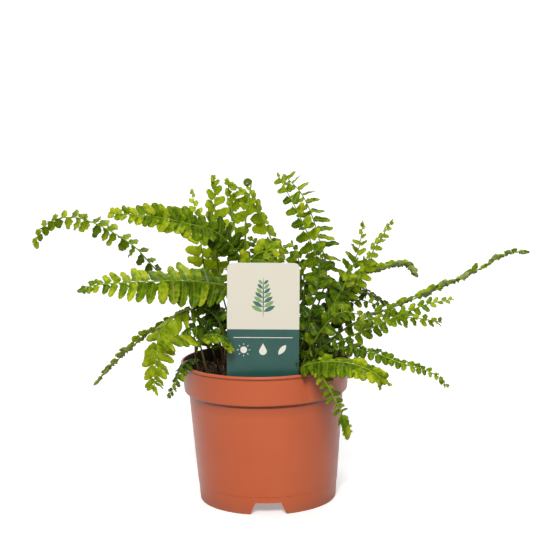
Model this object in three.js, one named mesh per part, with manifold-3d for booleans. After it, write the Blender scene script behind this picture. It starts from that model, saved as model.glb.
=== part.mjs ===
// A Boston fern in a notched plastic nursery pot, with a plain plant label pushed into the soil.
// Millimetres, +Z up. The origin is the centre of the pot's foot on the surface it stands on.
// The label's printed side faces -Y.
import * as THREE from "three";
import { mergeVertices } from "three/addons/utils/BufferGeometryUtils.js";
import Module from "manifold-3d";

const wasm = await Module();
wasm.setup();

// Pot
const RIM_RADIUS = 60;
const RIM_TOP = 99;
const LIP_HEIGHT = 1.5;
const LIP_DEPTH = 0.6;
const LIP_ROUND = 0.3;
const COLLAR_TOP_RADIUS = 59.2;
const COLLAR_BOTTOM_RADIUS = 57.7;
const COLLAR_BOTTOM = 78.5;
const BODY_TOP_RADIUS = 54.6;
const BODY_TOP = 76.5;
const FOOT_RADIUS = 48.6;
const LEDGE_HEIGHT = 12.5;
const LEDGE_STEP = 0.3;
const WALL = 1.2;
const FOOT_RING = 1.6;
const FLOOR_TOP = 11.2;
const FLOOR_THICKNESS = 1.6;
const POT_SIDES = 36;
const NOTCHES = 3;
const NOTCH = { bottom: 26, top: 17.5, height: 8.5 };
const DRAINS = { count: 6, radius: 4.5, circle: 33, sides: 8 };

// Soil
const SOIL_TOP = 90;
const SOIL_BUMP = 1.2;
const SOIL_RINGS = [0.72, 0.38];
const SOIL_EDGE = 1;
const SOIL_EDGE_REACH = 0.4;
const GAP = 0.3;
const HOLE_RADIUS = 2.35;
const HOLE_SIDES = 4;
const HOLE_ABOVE = 6;

// Label
const LABEL = { width: 48.8, top: 174, shoulder: 92, tip: 60, tipWidth: 9, corner: 4, thickness: 0.8 };
const LABEL_X = -2;
const LABEL_Y = -47;
const LABEL_LEAN_BACK = 2;
const LABEL_LEAN_SIDE = 1.6;

// Fronds
const STEM_BURIED = 8;
const STEM_STRAIGHT = 2;
const STEM_WIDTH = 1.9;
const TIP_WIDTH = 0.9;
const BLADE = 0.7;
const STEM_STEPS = 4;
const END_STEP = 0.6;
const CLEARANCE = 0.35;
const ROOT_SHARE = 0.2;
const OWN_CLEARANCE = 0.05;
const TRACE = 1e-6;
const LEAF_SEED = 7;

// A leaflet's three outer corners: how far out, how far across and how far sunk, as shares of its
// length, of half its width and of its length.
const LEAF_CORNERS = [[0.55, -1, 0.03], [1, -0.2, 0.13], [0.74, 0.95, 0.06]];
const LEAF_FORM = { foot: 0.7, footGain: 1.5, tipLoss: 0.74, tipPower: 2.4, uneven: 0.12 };
const LEAF_SWEEP = { foot: 10, tip: 48 };
const LEAF_WIDTH = { least: 0.5, ofPitch: 0.9, ofLength: 0.9, bend: 0.75, tightest: 0.3 };

const DEGREE = Math.PI / 180;
const COLOURS = {
  young: 0x9bb41e,
  bright: 0x74a016,
  mature: 0x4f7a1a,
  dark: 0x3d5f22,
};

// Each frond: where its stem leaves the soil, the points its midrib passes, which way its upper
// face looks, its longest leaflet, that leaflet's width, how many pairs it has, the bare share of
// its length, and how far its leaflets droop, in degrees.
const FRONDS = [
  { name: "frond_left_comb", root: [-14, -10], face: [0, -0.75, 0.66], leaf: 16.5, wide: 9.2, pairs: 13,
    path: [[-16, -18, 132], [-24, -26, 154], [-40, -34, 160], [-78, -58, 165], [-114, -75, 165],
      [-119, -77, 162]],
    bare: 0.38, droop: 22, colour: "bright" },
  { name: "frond_left_high", root: [-8, -3], face: [-0.25, -0.75, 0.62], leaf: 13, wide: 8.4, pairs: 13,
    path: [[-10, -1, 140], [-14, -3, 168], [-31, -21, 192], [-50, -40, 201], [-73, -54, 208],
      [-99, -66, 212]],
    bare: 0.42, droop: 12, colour: "mature" },
  { name: "frond_left_drooping", root: [-27, -20], face: [-0.4, -0.8, 0.45], leaf: 10.5, wide: 7.6, pairs: 11,
    path: [[-30, -24, 128], [-40, -31, 141], [-56, -38, 140], [-70, -47, 129], [-73, -53, 111],
      [-76, -56, 88]],
    bare: 0.42, droop: 10, colour: "young" },
  { name: "frond_left_front", root: [-43, -29], face: [-0.1, -0.62, 0.8], leaf: 8, wide: 6, pairs: 6,
    path: [[-47, -38, 107], [-48, -45, 117], [-54, -52, 123], [-60, -57, 124], [-69, -61, 120]],
    bare: 0.5, droop: 20, colour: "bright" },
  { name: "frond_left_inner", root: [-38, -34], face: [0.1, -0.62, 0.8], leaf: 8.5, wide: 6.4, pairs: 6,
    path: [[-41, -42, 106], [-42, -47, 118], [-37, -52, 124], [-30, -55, 124], [-22, -57, 117]],
    bare: 0.5, droop: 24, colour: "bright" },
  { name: "frond_left_long", root: [-13, 6], face: [0.1, -0.6, 0.8], leaf: 7.2, wide: 6, pairs: 14,
    path: [[-44, 2, 138], [-75, 6, 163], [-94, 22, 180], [-137, 50, 197], [-159, 59, 192], [-170, 61, 176]],
    bare: 0.42, droop: 8, colour: "mature" },
  { name: "frond_left_low", root: [-28, -3], face: [-0.5, -0.3, 0.82], leaf: 6.6, wide: 6, pairs: 11,
    path: [[-34, -2, 117], [-44, 0, 127], [-63, 5, 126], [-82, 8, 118], [-111, 12, 93], [-123, 12, 80]],
    bare: 0.36, droop: 8, colour: "dark" },
  { name: "frond_left_rim", root: [-39, -12], face: [-0.6, -0.6, 0.5], leaf: 6, wide: 5, pairs: 6,
    path: [[-45, -19, 102], [-52, -27, 105], [-58, -34, 100], [-61, -38, 92], [-67, -41, 82]],
    bare: 0.3, droop: 10, colour: "dark" },
  { name: "frond_fiddlehead", root: [-4, -9], face: [0.1, -1, 0.1], leaf: 5.5, wide: 5, pairs: 7,
    path: [[-11, -12, 135], [-13, -13, 160], [-12, -13, 184], [-11, -13, 204], [-8, -13, 218],
      [-7, -13, 225]],
    bare: 0.55, droop: 15, colour: "bright",
    coil: { radius: 2.8, turns: 1.3, steps: 11, width: 1.1, tightening: 0.68 } },
  { name: "frond_up_left", root: [-12, 17], face: [-0.6, -0.8, 0.1], leaf: 10, wide: 7.4, pairs: 11,
    path: [[-26, 11, 130], [-31, 7, 156], [-33, 4, 184], [-33, 2, 207], [-32.5, -3, 230]],
    bare: 0.38, droop: 28, colour: "young" },
  { name: "frond_up_middle", root: [-5, 12], face: [-0.5, -0.85, 0.1], leaf: 9.4, wide: 7.4, pairs: 11,
    path: [[-14, 15, 130], [-17, 16, 158], [-19.5, 16, 189], [-22, 16, 209], [-24, 13, 226]],
    bare: 0.38, droop: 26, colour: "young" },
  { name: "frond_up_outer", root: [-21, 12], face: [0.15, -1, 0.1], leaf: 10, wide: 7.4, pairs: 8,
    path: [[-34, 11, 132], [-41, 13, 154], [-43, 16, 172], [-47, 20, 200], [-50, 23, 218]],
    bare: 0.36, droop: 14, colour: "bright" },
  { name: "frond_up_arching", root: [5, 14], face: [0.35, -0.6, 0.7], leaf: 8.2, wide: 6.6, pairs: 9,
    path: [[14, 18, 130], [15, 20, 156], [7, 22, 179], [-1, 20, 198], [-9, 14, 213], [-25, 3, 226]],
    bare: 0.42, droop: 18, colour: "dark" },
  { name: "frond_over_label", root: [-3, -16], face: [0.1, -0.85, 0.5], leaf: 10, wide: 7.4, pairs: 7,
    path: [[-9, -17, 144], [-11, -19, 166], [-4, -23, 177], [6, -27, 180], [20, -32, 184]],
    bare: 0.58, droop: 12, colour: "mature" },
  { name: "frond_behind_label", root: [7, -12], face: [-0.2, -0.9, 0.4], leaf: 9.5, wide: 7.4, pairs: 6,
    path: [[16, -20, 132], [20, -25, 156], [19, -30, 169], [12, -34, 176], [1, -36, 176]],
    bare: 0.56, droop: 14, colour: "bright" },
  { name: "frond_right_tall", root: [14, -7], face: [-0.35, -0.9, 0.25], leaf: 9.6, wide: 7.4, pairs: 12,
    path: [[31, -10, 130], [38, -12, 154], [38, -15, 168], [32, -18, 187], [24, -21, 206], [11, -24, 232]],
    bare: 0.36, droop: 8, colour: "bright" },
  { name: "frond_right_feather", root: [18, 7], face: [0.5, -0.5, 0.7], leaf: 12, wide: 6.4, pairs: 12,
    path: [[36, 13, 128], [42, 16, 158], [37, 17, 182], [31, 16, 202], [24, 15, 215], [14, 12, 227]],
    bare: 0.4, droop: 4, colour: "mature" },
  { name: "frond_right_upright", root: [25, -1], face: [-0.1, -1, 0.1], leaf: 8, wide: 6.6, pairs: 9,
    path: [[44, 0, 128], [53, -1, 142], [60, -3, 158], [67, -6, 178], [70, -8, 196]],
    bare: 0.36, droop: 8, colour: "bright" },
  { name: "frond_right_leaning", root: [24, -12], face: [-0.5, -0.8, 0.3], leaf: 7, wide: 6, pairs: 10,
    path: [[46, -17, 130], [58, -21, 147], [67, -27, 161], [73, -34, 176], [87, -44, 201]],
    bare: 0.38, droop: 8, colour: "young" },
  { name: "frond_right_arch", root: [23, 17], face: [0, -0.3, 0.95], leaf: 7, wide: 6, pairs: 9,
    path: [[42, 21, 128], [58, 24, 149], [84, 30, 159], [104, 35, 161], [111, 36, 152]],
    bare: 0.38, droop: 14, colour: "dark" },
  { name: "frond_right_long", root: [32, -7], face: [-0.35, 0, 0.93], leaf: 6.8, wide: 6.4, pairs: 15,
    path: [[50, -12, 118], [70, -20, 133], [87, -30, 142], [112, -46, 155], [136, -62, 168], [158, -80, 183],
      [168, -92, 184]],
    bare: 0.27, droop: 10, colour: "dark" },
  { name: "frond_right_short", root: [27, 8], face: [0.3, -0.35, 0.88], leaf: 7.5, wide: 6, pairs: 7,
    path: [[40, 8, 122], [50, 9, 138], [61, 12, 149], [74, 15, 144], [91, 18, 131]],
    bare: 0.38, droop: 14, colour: "dark" },
  { name: "frond_right_bright", root: [33, -20], face: [-0.3, -0.62, 0.72], leaf: 8.4, wide: 7, pairs: 11,
    path: [[44, -27, 109], [55, -34, 119], [68, -42, 126], [84, -52, 135], [108, -64, 147], [124, -70, 151]],
    bare: 0.24, droop: 14, colour: "bright" },
  { name: "frond_right_middle", root: [35, 9], face: [0, -0.5, 0.86], leaf: 8.4, wide: 6.6, pairs: 10,
    path: [[47, 6, 110], [58, 3, 119], [82, 4, 127], [104, 8, 125], [126, 10, 121]],
    bare: 0.24, droop: 20, colour: "mature" },
  { name: "frond_right_low", root: [38, -14], face: [0.2, -0.35, 0.9], leaf: 6, wide: 5.8, pairs: 11,
    path: [[46, -20, 105], [56, -29, 111], [74, -41, 110], [92, -54, 105], [111, -62, 100], [121, -66, 91]],
    bare: 0.24, droop: 14, colour: "mature" },
  { name: "frond_front_bright", root: [28, -46], face: [0.1, -0.6, 0.8], leaf: 9.6, wide: 7.6, pairs: 10,
    path: [[24, -53, 103], [29, -59, 109], [46, -70, 113], [62, -82, 112], [73, -89, 107], [79, -92, 99]],
    bare: 0.2, droop: 16, colour: "young" },
  { name: "frond_front_hanging", root: [34, -39], face: [0.5, -0.8, 0.3], leaf: 6.4, wide: 5, pairs: 9,
    path: [[32, -48, 103], [33, -59, 107], [38, -68, 100], [45, -73, 87], [51, -71, 75], [57, -68, 57]],
    bare: 0.3, droop: 6, colour: "mature" },
  { name: "frond_fill_left_high", root: [-20, -9], face: [0, -0.8, 0.6], leaf: 9.5, wide: 7.6, pairs: 6,
    path: [[-29, -18, 124], [-34, -24, 138], [-42, -28, 146], [-54, -32, 139]],
    bare: 0.36, droop: 18, colour: "dark" },
  { name: "frond_fill_left_low", root: [-32, -13], face: [-0.1, -0.8, 0.6], leaf: 8.5, wide: 7, pairs: 6,
    path: [[-36, -27, 112], [-38, -34, 124], [-43, -38, 131], [-56, -43, 125]],
    bare: 0.38, droop: 18, colour: "mature" },
  { name: "frond_fill_centre", root: [2, 3], face: [0.1, -0.95, 0.3], leaf: 9.5, wide: 7.4, pairs: 6,
    path: [[-2, 3, 130], [-1, 1, 156], [-3, -2, 174], [-8, -5, 187]],
    bare: 0.5, droop: 12, colour: "dark" },
  { name: "frond_fill_right_inner", root: [12, 1], face: [0, -0.95, 0.3], leaf: 9.5, wide: 7.4, pairs: 8,
    path: [[24, 4, 118], [28, 3, 140], [28, 1, 158], [20, -4, 183]],
    bare: 0.34, droop: 12, colour: "dark" },
  { name: "frond_fill_right_upright", root: [17, -17], face: [0, -0.9, 0.4], leaf: 9.5, wide: 7.4, pairs: 9,
    path: [[26, -28, 116], [32, -34, 138], [37, -36, 158], [39, -38, 182]],
    bare: 0.3, droop: 14, colour: "mature" },
  { name: "frond_fill_right_middle", root: [27, -19], face: [-0.3, -0.85, 0.4], leaf: 9.5, wide: 7.4,
    pairs: 8, path: [[36, -22, 119], [45, -25, 137], [54, -28, 153], [64, -31, 174]],
    bare: 0.3, droop: 14, colour: "bright" },
  { name: "frond_fill_right_front", root: [22, -27], face: [0, -0.85, 0.5], leaf: 9.5, wide: 7.4, pairs: 7,
    path: [[32, -36, 115], [42, -42, 131], [53, -48, 140], [72, -54, 136]],
    bare: 0.32, droop: 16, colour: "mature" },
  { name: "frond_fill_right_low", root: [29, -32], face: [0, -0.85, 0.5], leaf: 8.5, wide: 7.2, pairs: 6,
    path: [[34, -43, 109], [41, -52, 119], [50, -58, 123], [67, -64, 115]],
    bare: 0.32, droop: 16, colour: "dark" },
  { name: "frond_fill_right_outer", root: [39, 0], face: [-0.1, -0.8, 0.6], leaf: 8.5, wide: 7, pairs: 6,
    path: [[46, -5, 122], [55, -9, 136], [66, -13, 142], [80, -16, 138]],
    bare: 0.4, droop: 16, colour: "dark" },
];

// Fronds on the far side arch outwards: where each leaves the soil, where its tip hangs, the
// height of its crest and of its tip, its longest leaflet and its pairs.
const ARCHES = [
  { name: "frond_back_centre", root: [-3, 25], end: [-14, 95],
    crest: 150, tip: 122, leaf: 11, pairs: 8, colour: "mature" },
  { name: "frond_back_right", root: [7, 26], end: [27, 92],
    crest: 153, tip: 128, leaf: 11, pairs: 8, colour: "bright" },
  { name: "frond_back_left", root: [-13, 27], end: [-46, 88],
    crest: 158, tip: 134, leaf: 11, pairs: 8, colour: "bright" },
  { name: "frond_back_right_wide", root: [17, 25], end: [64, 84],
    crest: 146, tip: 116, leaf: 10, pairs: 8, colour: "dark" },
  { name: "frond_back_left_wide", root: [-23, 22], end: [-88, 72],
    crest: 151, tip: 138, leaf: 9, pairs: 8, colour: "dark" },
  { name: "frond_back_right_side", root: [30, 22], end: [98, 66],
    crest: 140, tip: 118, leaf: 9, pairs: 8, colour: "mature" },
  { name: "frond_back_low", root: [2, 35], end: [4, 93],
    crest: 122, tip: 86, leaf: 10, pairs: 7, colour: "young" },
  { name: "frond_back_low_left", root: [-22, 33], end: [-50, 84],
    crest: 125, tip: 92, leaf: 10, pairs: 7, colour: "mature" },
  { name: "frond_back_low_right", root: [19, 35], end: [48, 86],
    crest: 122, tip: 90, leaf: 10, pairs: 7, colour: "mature" },
];

// How those arches run: points on the way up and down, as a share of the reach and of the height.
const ARCH = {
  rise: [[0.12, 0.5], [0.3, 0.87], [0.54, 1]],
  fall: [[0.8, 0.4], [1, 1]],
  tilt: 0.26,
  width: 0.72,
  bare: 0.34,
  droop: 16,
};

// A plain seeded generator, so that every run places the same leaflets.
function seeded(seed) {
  let state = seed;
  return () => {
    state = (state * 16807) % 2147483647;
    return state / 2147483647;
  };
}

// A closed geometry as a solid that can be joined and cut.
function toSolid(geometry) {
  const bare = new THREE.BufferGeometry().setAttribute("position", geometry.getAttribute("position"));
  if (geometry.index) bare.setIndex(geometry.index);
  const merged = mergeVertices(bare, 1e-4);
  const kept = [];
  const index = merged.index.array;
  for (let i = 0; i < index.length; i += 3) {
    const [a, b, c] = [index[i], index[i + 1], index[i + 2]];
    if (a !== b && b !== c && c !== a) kept.push(a, b, c);
  }
  return new wasm.Manifold(
    new wasm.Mesh({
      numProp: 3,
      vertProperties: new Float32Array(merged.attributes.position.array),
      triVerts: new Uint32Array(kept),
    }),
  );
}

// The solid back as a geometry with flat faces.
function toGeometry(solid) {
  const mesh = solid.getMesh();
  const geometry = new THREE.BufferGeometry()
    .setAttribute("position", new THREE.BufferAttribute(new Float32Array(mesh.vertProperties), 3))
    .setIndex(new THREE.BufferAttribute(new Uint32Array(mesh.triVerts), 1));
  geometry.computeVertexNormals();
  return geometry;
}

// A lathe about +Z from [radius, height] points that start and end on the axis.
function lathe(points) {
  const profile = points.map(([radius, height]) => new THREE.Vector2(radius, height));
  return new THREE.LatheGeometry(profile, POT_SIDES).rotateX(Math.PI / 2);
}

// A material of one colour.
function finish(color, roughness) {
  return new THREE.MeshStandardMaterial({ color, roughness, metalness: 0, flatShading: true });
}

// Inner radius of the pot's tapered body at a height.
function bodyRadius(height) {
  return FOOT_RADIUS + ((BODY_TOP_RADIUS - FOOT_RADIUS) * height) / BODY_TOP;
}

// The pot: a lathed shell with notches cut through its foot ring and drains through its floor.
function potSolid() {
  const floorUnder = FLOOR_TOP - FLOOR_THICKNESS;
  const collarInner = COLLAR_BOTTOM_RADIUS - WALL;
  const shell = toSolid(
    lathe([
      [0, floorUnder],
      [bodyRadius(floorUnder) - FOOT_RING, floorUnder],
      [FOOT_RADIUS - LEDGE_STEP - FOOT_RING, 0],
      [FOOT_RADIUS - LEDGE_STEP, 0],
      [bodyRadius(LEDGE_HEIGHT) - LEDGE_STEP, LEDGE_HEIGHT],
      [bodyRadius(LEDGE_HEIGHT), LEDGE_HEIGHT + LEDGE_STEP],
      [BODY_TOP_RADIUS, BODY_TOP],
      [COLLAR_BOTTOM_RADIUS, COLLAR_BOTTOM],
      [COLLAR_TOP_RADIUS, RIM_TOP - LIP_HEIGHT - LIP_DEPTH],
      [RIM_RADIUS, RIM_TOP - LIP_HEIGHT],
      [RIM_RADIUS - LIP_ROUND, RIM_TOP],
      [COLLAR_TOP_RADIUS - WALL, RIM_TOP],
      [collarInner, COLLAR_BOTTOM + WALL],
      [BODY_TOP_RADIUS - WALL, BODY_TOP + WALL / 2],
      [bodyRadius(FLOOR_TOP) - WALL, FLOOR_TOP],
      [0, FLOOR_TOP],
    ]),
  );
  const cuts = [];
  for (let i = 0; i < NOTCHES; i += 1) {
    const outline = new THREE.Shape([
      new THREE.Vector2(-NOTCH.bottom / 2, -1),
      new THREE.Vector2(NOTCH.bottom / 2, -1),
      new THREE.Vector2(NOTCH.top / 2, NOTCH.height),
      new THREE.Vector2(-NOTCH.top / 2, NOTCH.height),
    ]);
    const notch = new THREE.ExtrudeGeometry(outline, { depth: FOOT_RADIUS, bevelEnabled: false })
      .rotateX(Math.PI / 2)
      .translate(0, -FOOT_RADIUS / 2, 0)
      .rotateZ((i * 2 * Math.PI) / NOTCHES);
    cuts.push(toSolid(notch));
  }
  for (let i = 0; i < DRAINS.count; i += 1) {
    const angle = ((i + 0.5) * 2 * Math.PI) / DRAINS.count;
    const { radius, sides } = DRAINS;
    const drain = new THREE.CylinderGeometry(radius, radius, 4 * FLOOR_THICKNESS, sides)
      .rotateX(Math.PI / 2)
      .translate(DRAINS.circle * Math.cos(angle), DRAINS.circle * Math.sin(angle), FLOOR_TOP);
    cuts.push(toSolid(drain));
  }
  return cuts.reduce((left, cut) => left.subtract(cut), shell);
}

// Height of the crumbly soil surface.
function soilHeight(x, y) {
  const broad = Math.sin(0.23 * x + 0.6) * Math.cos(0.19 * y);
  const fine = 0.5 * Math.sin(0.41 * (x + y));
  return SOIL_TOP + SOIL_BUMP * (broad + fine);
}

// The soil as one body that fills the pot, with its holes for the stems and the label's stake.
function soilSolid(holes) {
  const low = FLOOR_TOP + GAP;
  const wide = COLLAR_BOTTOM_RADIUS - WALL - GAP;
  const geometry = lathe([
    [0, low],
    [bodyRadius(low) - WALL - GAP, low],
    [BODY_TOP_RADIUS - WALL - GAP, BODY_TOP + WALL / 2 + GAP],
    [wide, COLLAR_BOTTOM + WALL + GAP],
    [wide + SOIL_EDGE_REACH, SOIL_TOP - SOIL_EDGE],
    ...SOIL_RINGS.map((share) => [wide * share, SOIL_TOP]),
    [0, SOIL_TOP],
  ]);
  const position = geometry.getAttribute("position");
  for (let i = 0; i < position.count; i += 1) {
    if (position.getZ(i) > SOIL_TOP - SOIL_EDGE / 2) {
      position.setZ(i, soilHeight(position.getX(i), position.getY(i)));
    }
  }
  return holes.reduce((left, hole) => left.subtract(hole), toSolid(geometry));
}

// The label's card with its pointed stake, grown by a margin all round.
function labelSolid(margin) {
  const half = LABEL.width / 2 + margin;
  const tip = LABEL.tipWidth / 2 + margin;
  const top = LABEL.top + margin;
  const r = LABEL.corner;
  const outline = new THREE.Shape();
  outline.moveTo(-tip, LABEL.tip - margin);
  outline.lineTo(tip, LABEL.tip - margin);
  outline.lineTo(half, LABEL.shoulder - margin);
  outline.lineTo(half, top - r);
  outline.absarc(half - r, top - r, r, 0, Math.PI / 2, false);
  outline.lineTo(-half + r, top);
  outline.absarc(-half + r, top - r, r, Math.PI / 2, Math.PI, false);
  outline.lineTo(-half, LABEL.shoulder - margin);
  const depth = LABEL.thickness + 2 * margin;
  const geometry = new THREE.ExtrudeGeometry(outline, { depth, bevelEnabled: false, curveSegments: 4 })
    .translate(0, 0, -depth / 2)
    .rotateX(Math.PI / 2)
    .translate(0, 0, -SOIL_TOP)
    .rotateX(-LABEL_LEAN_BACK * DEGREE)
    .rotateY(LABEL_LEAN_SIDE * DEGREE)
    .translate(LABEL_X, LABEL_Y, SOIL_TOP);
  return toSolid(geometry);
}

// An arch on the far side as a frond with points on its midrib.
function arched({ root, end, crest, tip, ...rest }) {
  const run = new THREE.Vector2(end[0] - root[0], end[1] - root[1]);
  const at = (share, height) => [root[0] + run.x * share, root[1] + run.y * share, height];
  const out = run.clone().normalize();
  return {
    ...rest,
    root,
    face: [ARCH.tilt * out.x, ARCH.tilt * out.y, 1],
    wide: ARCH.width * rest.leaf,
    path: [
      ...ARCH.rise.map(([share, height]) => at(share, THREE.MathUtils.lerp(SOIL_TOP, crest, height))),
      ...ARCH.fall.map(([share, drop]) => at(share, THREE.MathUtils.lerp(crest, tip, drop))),
    ],
    bare: ARCH.bare,
    droop: ARCH.droop,
  };
}

// Length of a leaflet along its frond, as a share of the longest: short at the foot, fine at the tip.
function leafShare(u) {
  const { foot, footGain, tipLoss, tipPower } = LEAF_FORM;
  return Math.min(1, foot + footGain * u) * (1 - tipLoss * u ** tipPower);
}

// The width of a midrib at a share of its length.
function ribWidth(share) {
  return THREE.MathUtils.lerp(STEM_WIDTH, TIP_WIDTH, share);
}

// The stations of a frond's midrib: where each is, which way it runs and how its blade is turned.
function stationsOf(frond) {
  const [x, y] = frond.root;
  const foot = new THREE.Vector3(x, y, SOIL_TOP - STEM_BURIED);
  const collar = new THREE.Vector3(x, y, SOIL_TOP + STEM_STRAIGHT);
  const curve = new THREE.CatmullRomCurve3(
    [collar, ...frond.path.map((point) => new THREE.Vector3(...point))],
    false,
    "centripetal",
  );
  const shares = [];
  for (let i = 0; i < STEM_STEPS; i += 1) shares.push((frond.bare * i) / STEM_STEPS);
  for (let i = 0; i <= frond.pairs; i += 1) {
    shares.push(frond.bare + ((1 - frond.bare) * i) / (frond.pairs + END_STEP));
  }
  const face = new THREE.Vector3(...frond.face);
  const turned = (towards, along) => towards.clone().addScaledVector(along, -towards.dot(along)).normalize();
  const stations = shares.map((share) => {
    const along = curve.getTangentAt(share);
    return { at: curve.getPointAt(share), along, up: turned(face, along), width: ribWidth(share) };
  });
  for (let i = STEM_STEPS - 1; i >= 0; i -= 1) stations[i].up = turned(stations[i + 1].up, stations[i].along);
  const rising = new THREE.Vector3(0, 0, 1);
  stations.unshift({ at: foot, along: rising, up: turned(stations[0].up, rising), width: STEM_WIDTH });
  const leafy = stations.length;
  let end = curve.getPointAt(1);
  if (frond.coil) {
    const along = curve.getTangentAt(1);
    const rolled = coilOf(frond.coil, end, along, turned(face, along));
    end = rolled.pop().at;
    stations.push(...rolled);
  }
  for (const station of stations) station.side = station.along.clone().cross(station.up);
  return { stations, leafy, end };
}

// The rolled tip of a young frond, from where its straight part ends.
function coilOf({ radius, turns, steps, width, tightening }, start, along, up) {
  const inward = up.clone().cross(along);
  const centre = start.clone().addScaledVector(inward, radius);
  const points = [];
  for (let i = 0; i <= steps; i += 1) {
    const share = i / steps;
    const angle = share * turns * 2 * Math.PI;
    const r = radius * (1 - tightening * share);
    points.push({
      at: centre
        .clone()
        .addScaledVector(inward, -r * Math.cos(angle))
        .addScaledVector(along, r * Math.sin(angle)),
      along: inward.clone().multiplyScalar(Math.sin(angle)).addScaledVector(along, Math.cos(angle)),
      up,
      width,
    });
  }
  return points;
}

// The five corners of a leaflet between two stations, on one side of the midrib, and the way it faces.
function leaflet(frond, a, b, side, u, jitter, pose) {
  const rootA = a.at.clone().addScaledVector(a.side, (side * a.width) / 2);
  const rootB = b.at.clone().addScaledVector(b.side, (side * b.width) / 2);
  const pitch = rootA.distanceTo(rootB);
  const length = frond.leaf * leafShare(u) * (1 + LEAF_FORM.uneven * (jitter - 0.5)) * pose.reach;
  const bend = (side * b.along.dot(a.side)) / pitch;
  const crowding = THREE.MathUtils.clamp(1 - LEAF_WIDTH.bend * length * bend, LEAF_WIDTH.tightest, 1);
  const half =
    Math.min(
      frond.wide * Math.max(leafShare(u), LEAF_WIDTH.least),
      LEAF_WIDTH.ofPitch * pitch * crowding,
      LEAF_WIDTH.ofLength * length,
    ) / 2;
  const droop = (frond.droop + pose.fold) * DEGREE;
  const sweep = THREE.MathUtils.lerp(LEAF_SWEEP.foot, LEAF_SWEEP.tip, u * u) * DEGREE;
  const out = a.side.clone().multiplyScalar(side * Math.cos(droop)).addScaledVector(a.up, -Math.sin(droop));
  const axis = out.clone().multiplyScalar(Math.cos(sweep)).addScaledVector(a.along, Math.sin(sweep));
  const across = a.along.clone().multiplyScalar(Math.cos(sweep)).addScaledVector(out, -Math.sin(sweep));
  const normal = a.up.clone().multiplyScalar(Math.cos(droop)).addScaledVector(a.side, side * Math.sin(droop));
  const middle = rootA.clone().lerp(rootB, 0.5);
  const outer = LEAF_CORNERS.map(([along, sideways, sag]) =>
    middle
      .clone()
      .addScaledVector(axis, along * length)
      .addScaledVector(across, sideways * half)
      .addScaledVector(a.up, -sag * length),
  );
  return { outline: [rootA, ...outer, rootB], normal };
}

// Triangles of a five-cornered leaflet, the same on both faces.
const LEAF_TRIANGLES = [[0, 1, 3], [1, 2, 3], [0, 3, 4]];

// A closed slab over a five-cornered outline, thick along a direction and grown by a margin all round.
function slab(outline, up, thickness, margin) {
  const centre = new THREE.Vector3();
  for (const point of outline) centre.addScaledVector(point, 1 / outline.length);
  const corners = outline.map((point) => {
    const away = point.clone().sub(centre);
    return point.clone().addScaledVector(away.normalize(), margin);
  });
  const rise = up.clone().multiplyScalar(thickness / 2 + margin);
  const points = [...corners.map((c) => c.clone().add(rise)), ...corners.map((c) => c.clone().sub(rise))];
  const n = corners.length;
  const faces = [];
  for (const [a, b, c] of LEAF_TRIANGLES) faces.push(a, b, c, n + c, n + b, n + a);
  for (let i = 0; i < n; i += 1) {
    const j = (i + 1) % n;
    faces.push(i, n + i, n + j, i, n + j, j);
  }
  const geometry = new THREE.BufferGeometry().setFromPoints(points);
  geometry.setIndex(faces);
  const solid = toSolid(geometry);
  return solid.volume() > 0 ? solid : toSolid(geometry.setIndex([...faces].reverse()));
}

// What already stands, so that nothing new is placed through it.
class Standing {
  constructor() {
    this.items = [];
  }

  add(owner, solid) {
    const { min, max } = solid.boundingBox();
    this.items.push({ owner, solid, min, max });
  }

  // Whether a solid meets what stands: its own frond's pieces, or those of all others.
  blocks(owner, solid, own) {
    const { min, max } = solid.boundingBox();
    return this.items.some((item) => {
      if ((item.owner === owner) !== own) return false;
      for (let k = 0; k < 3; k += 1) if (item.min[k] > max[k] || item.max[k] < min[k]) return false;
      const shared = item.solid.intersect(solid);
      const hit = !shared.isEmpty() && shared.volume() > TRACE;
      shared.delete();
      return hit;
    });
  }
}

// The outer part of a leaflet, clear of its root, as a slab.
function outerSlab({ outline, normal }, margin) {
  const [rootA, a, tip, b, rootB] = outline;
  const pulled = [rootA.clone().lerp(a, ROOT_SHARE), a, tip, b, rootB.clone().lerp(b, ROOT_SHARE)];
  return slab(pulled, normal, BLADE, margin);
}

// Poses that a leaflet tries in turn where its place is taken: folded down or up, then shorter.
const POSES = [
  { fold: 0, reach: 1 },
  { fold: 20, reach: 1 },
  { fold: -20, reach: 1 },
  { fold: 42, reach: 0.85 },
  { fold: -42, reach: 0.85 },
  { fold: 0, reach: 0.62 },
  { fold: 35, reach: 0.55 },
  { fold: -35, reach: 0.55 },
  { fold: 0, reach: 0.34 },
];

// One frond as a closed mesh: a four-sided midrib with a thin leaflet between stations on each side.
class FrondMesh {
  constructor() {
    this.points = [];
    this.faces = [];
  }

  // A corner as a pair of vertices, above and below the blade.
  corner(point, up, thickness) {
    const first = this.points.length;
    const rise = up.clone().multiplyScalar(thickness / 2);
    this.points.push(point.clone().add(rise), point.clone().sub(rise));
    return { top: first, under: first + 1 };
  }

  // A triangle on the upper face and its partner below.
  skin(a, b, c) {
    this.faces.push(a.top, b.top, c.top, c.under, b.under, a.under);
  }

  // The edge wall from one corner to the next, with the blade on its left.
  wall(a, b) {
    this.faces.push(a.top, a.under, b.under, a.top, b.under, b.top);
  }

  geometry() {
    const geometry = new THREE.BufferGeometry().setFromPoints(this.points);
    geometry.setIndex(this.faces);
    return geometry;
  }
}

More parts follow.
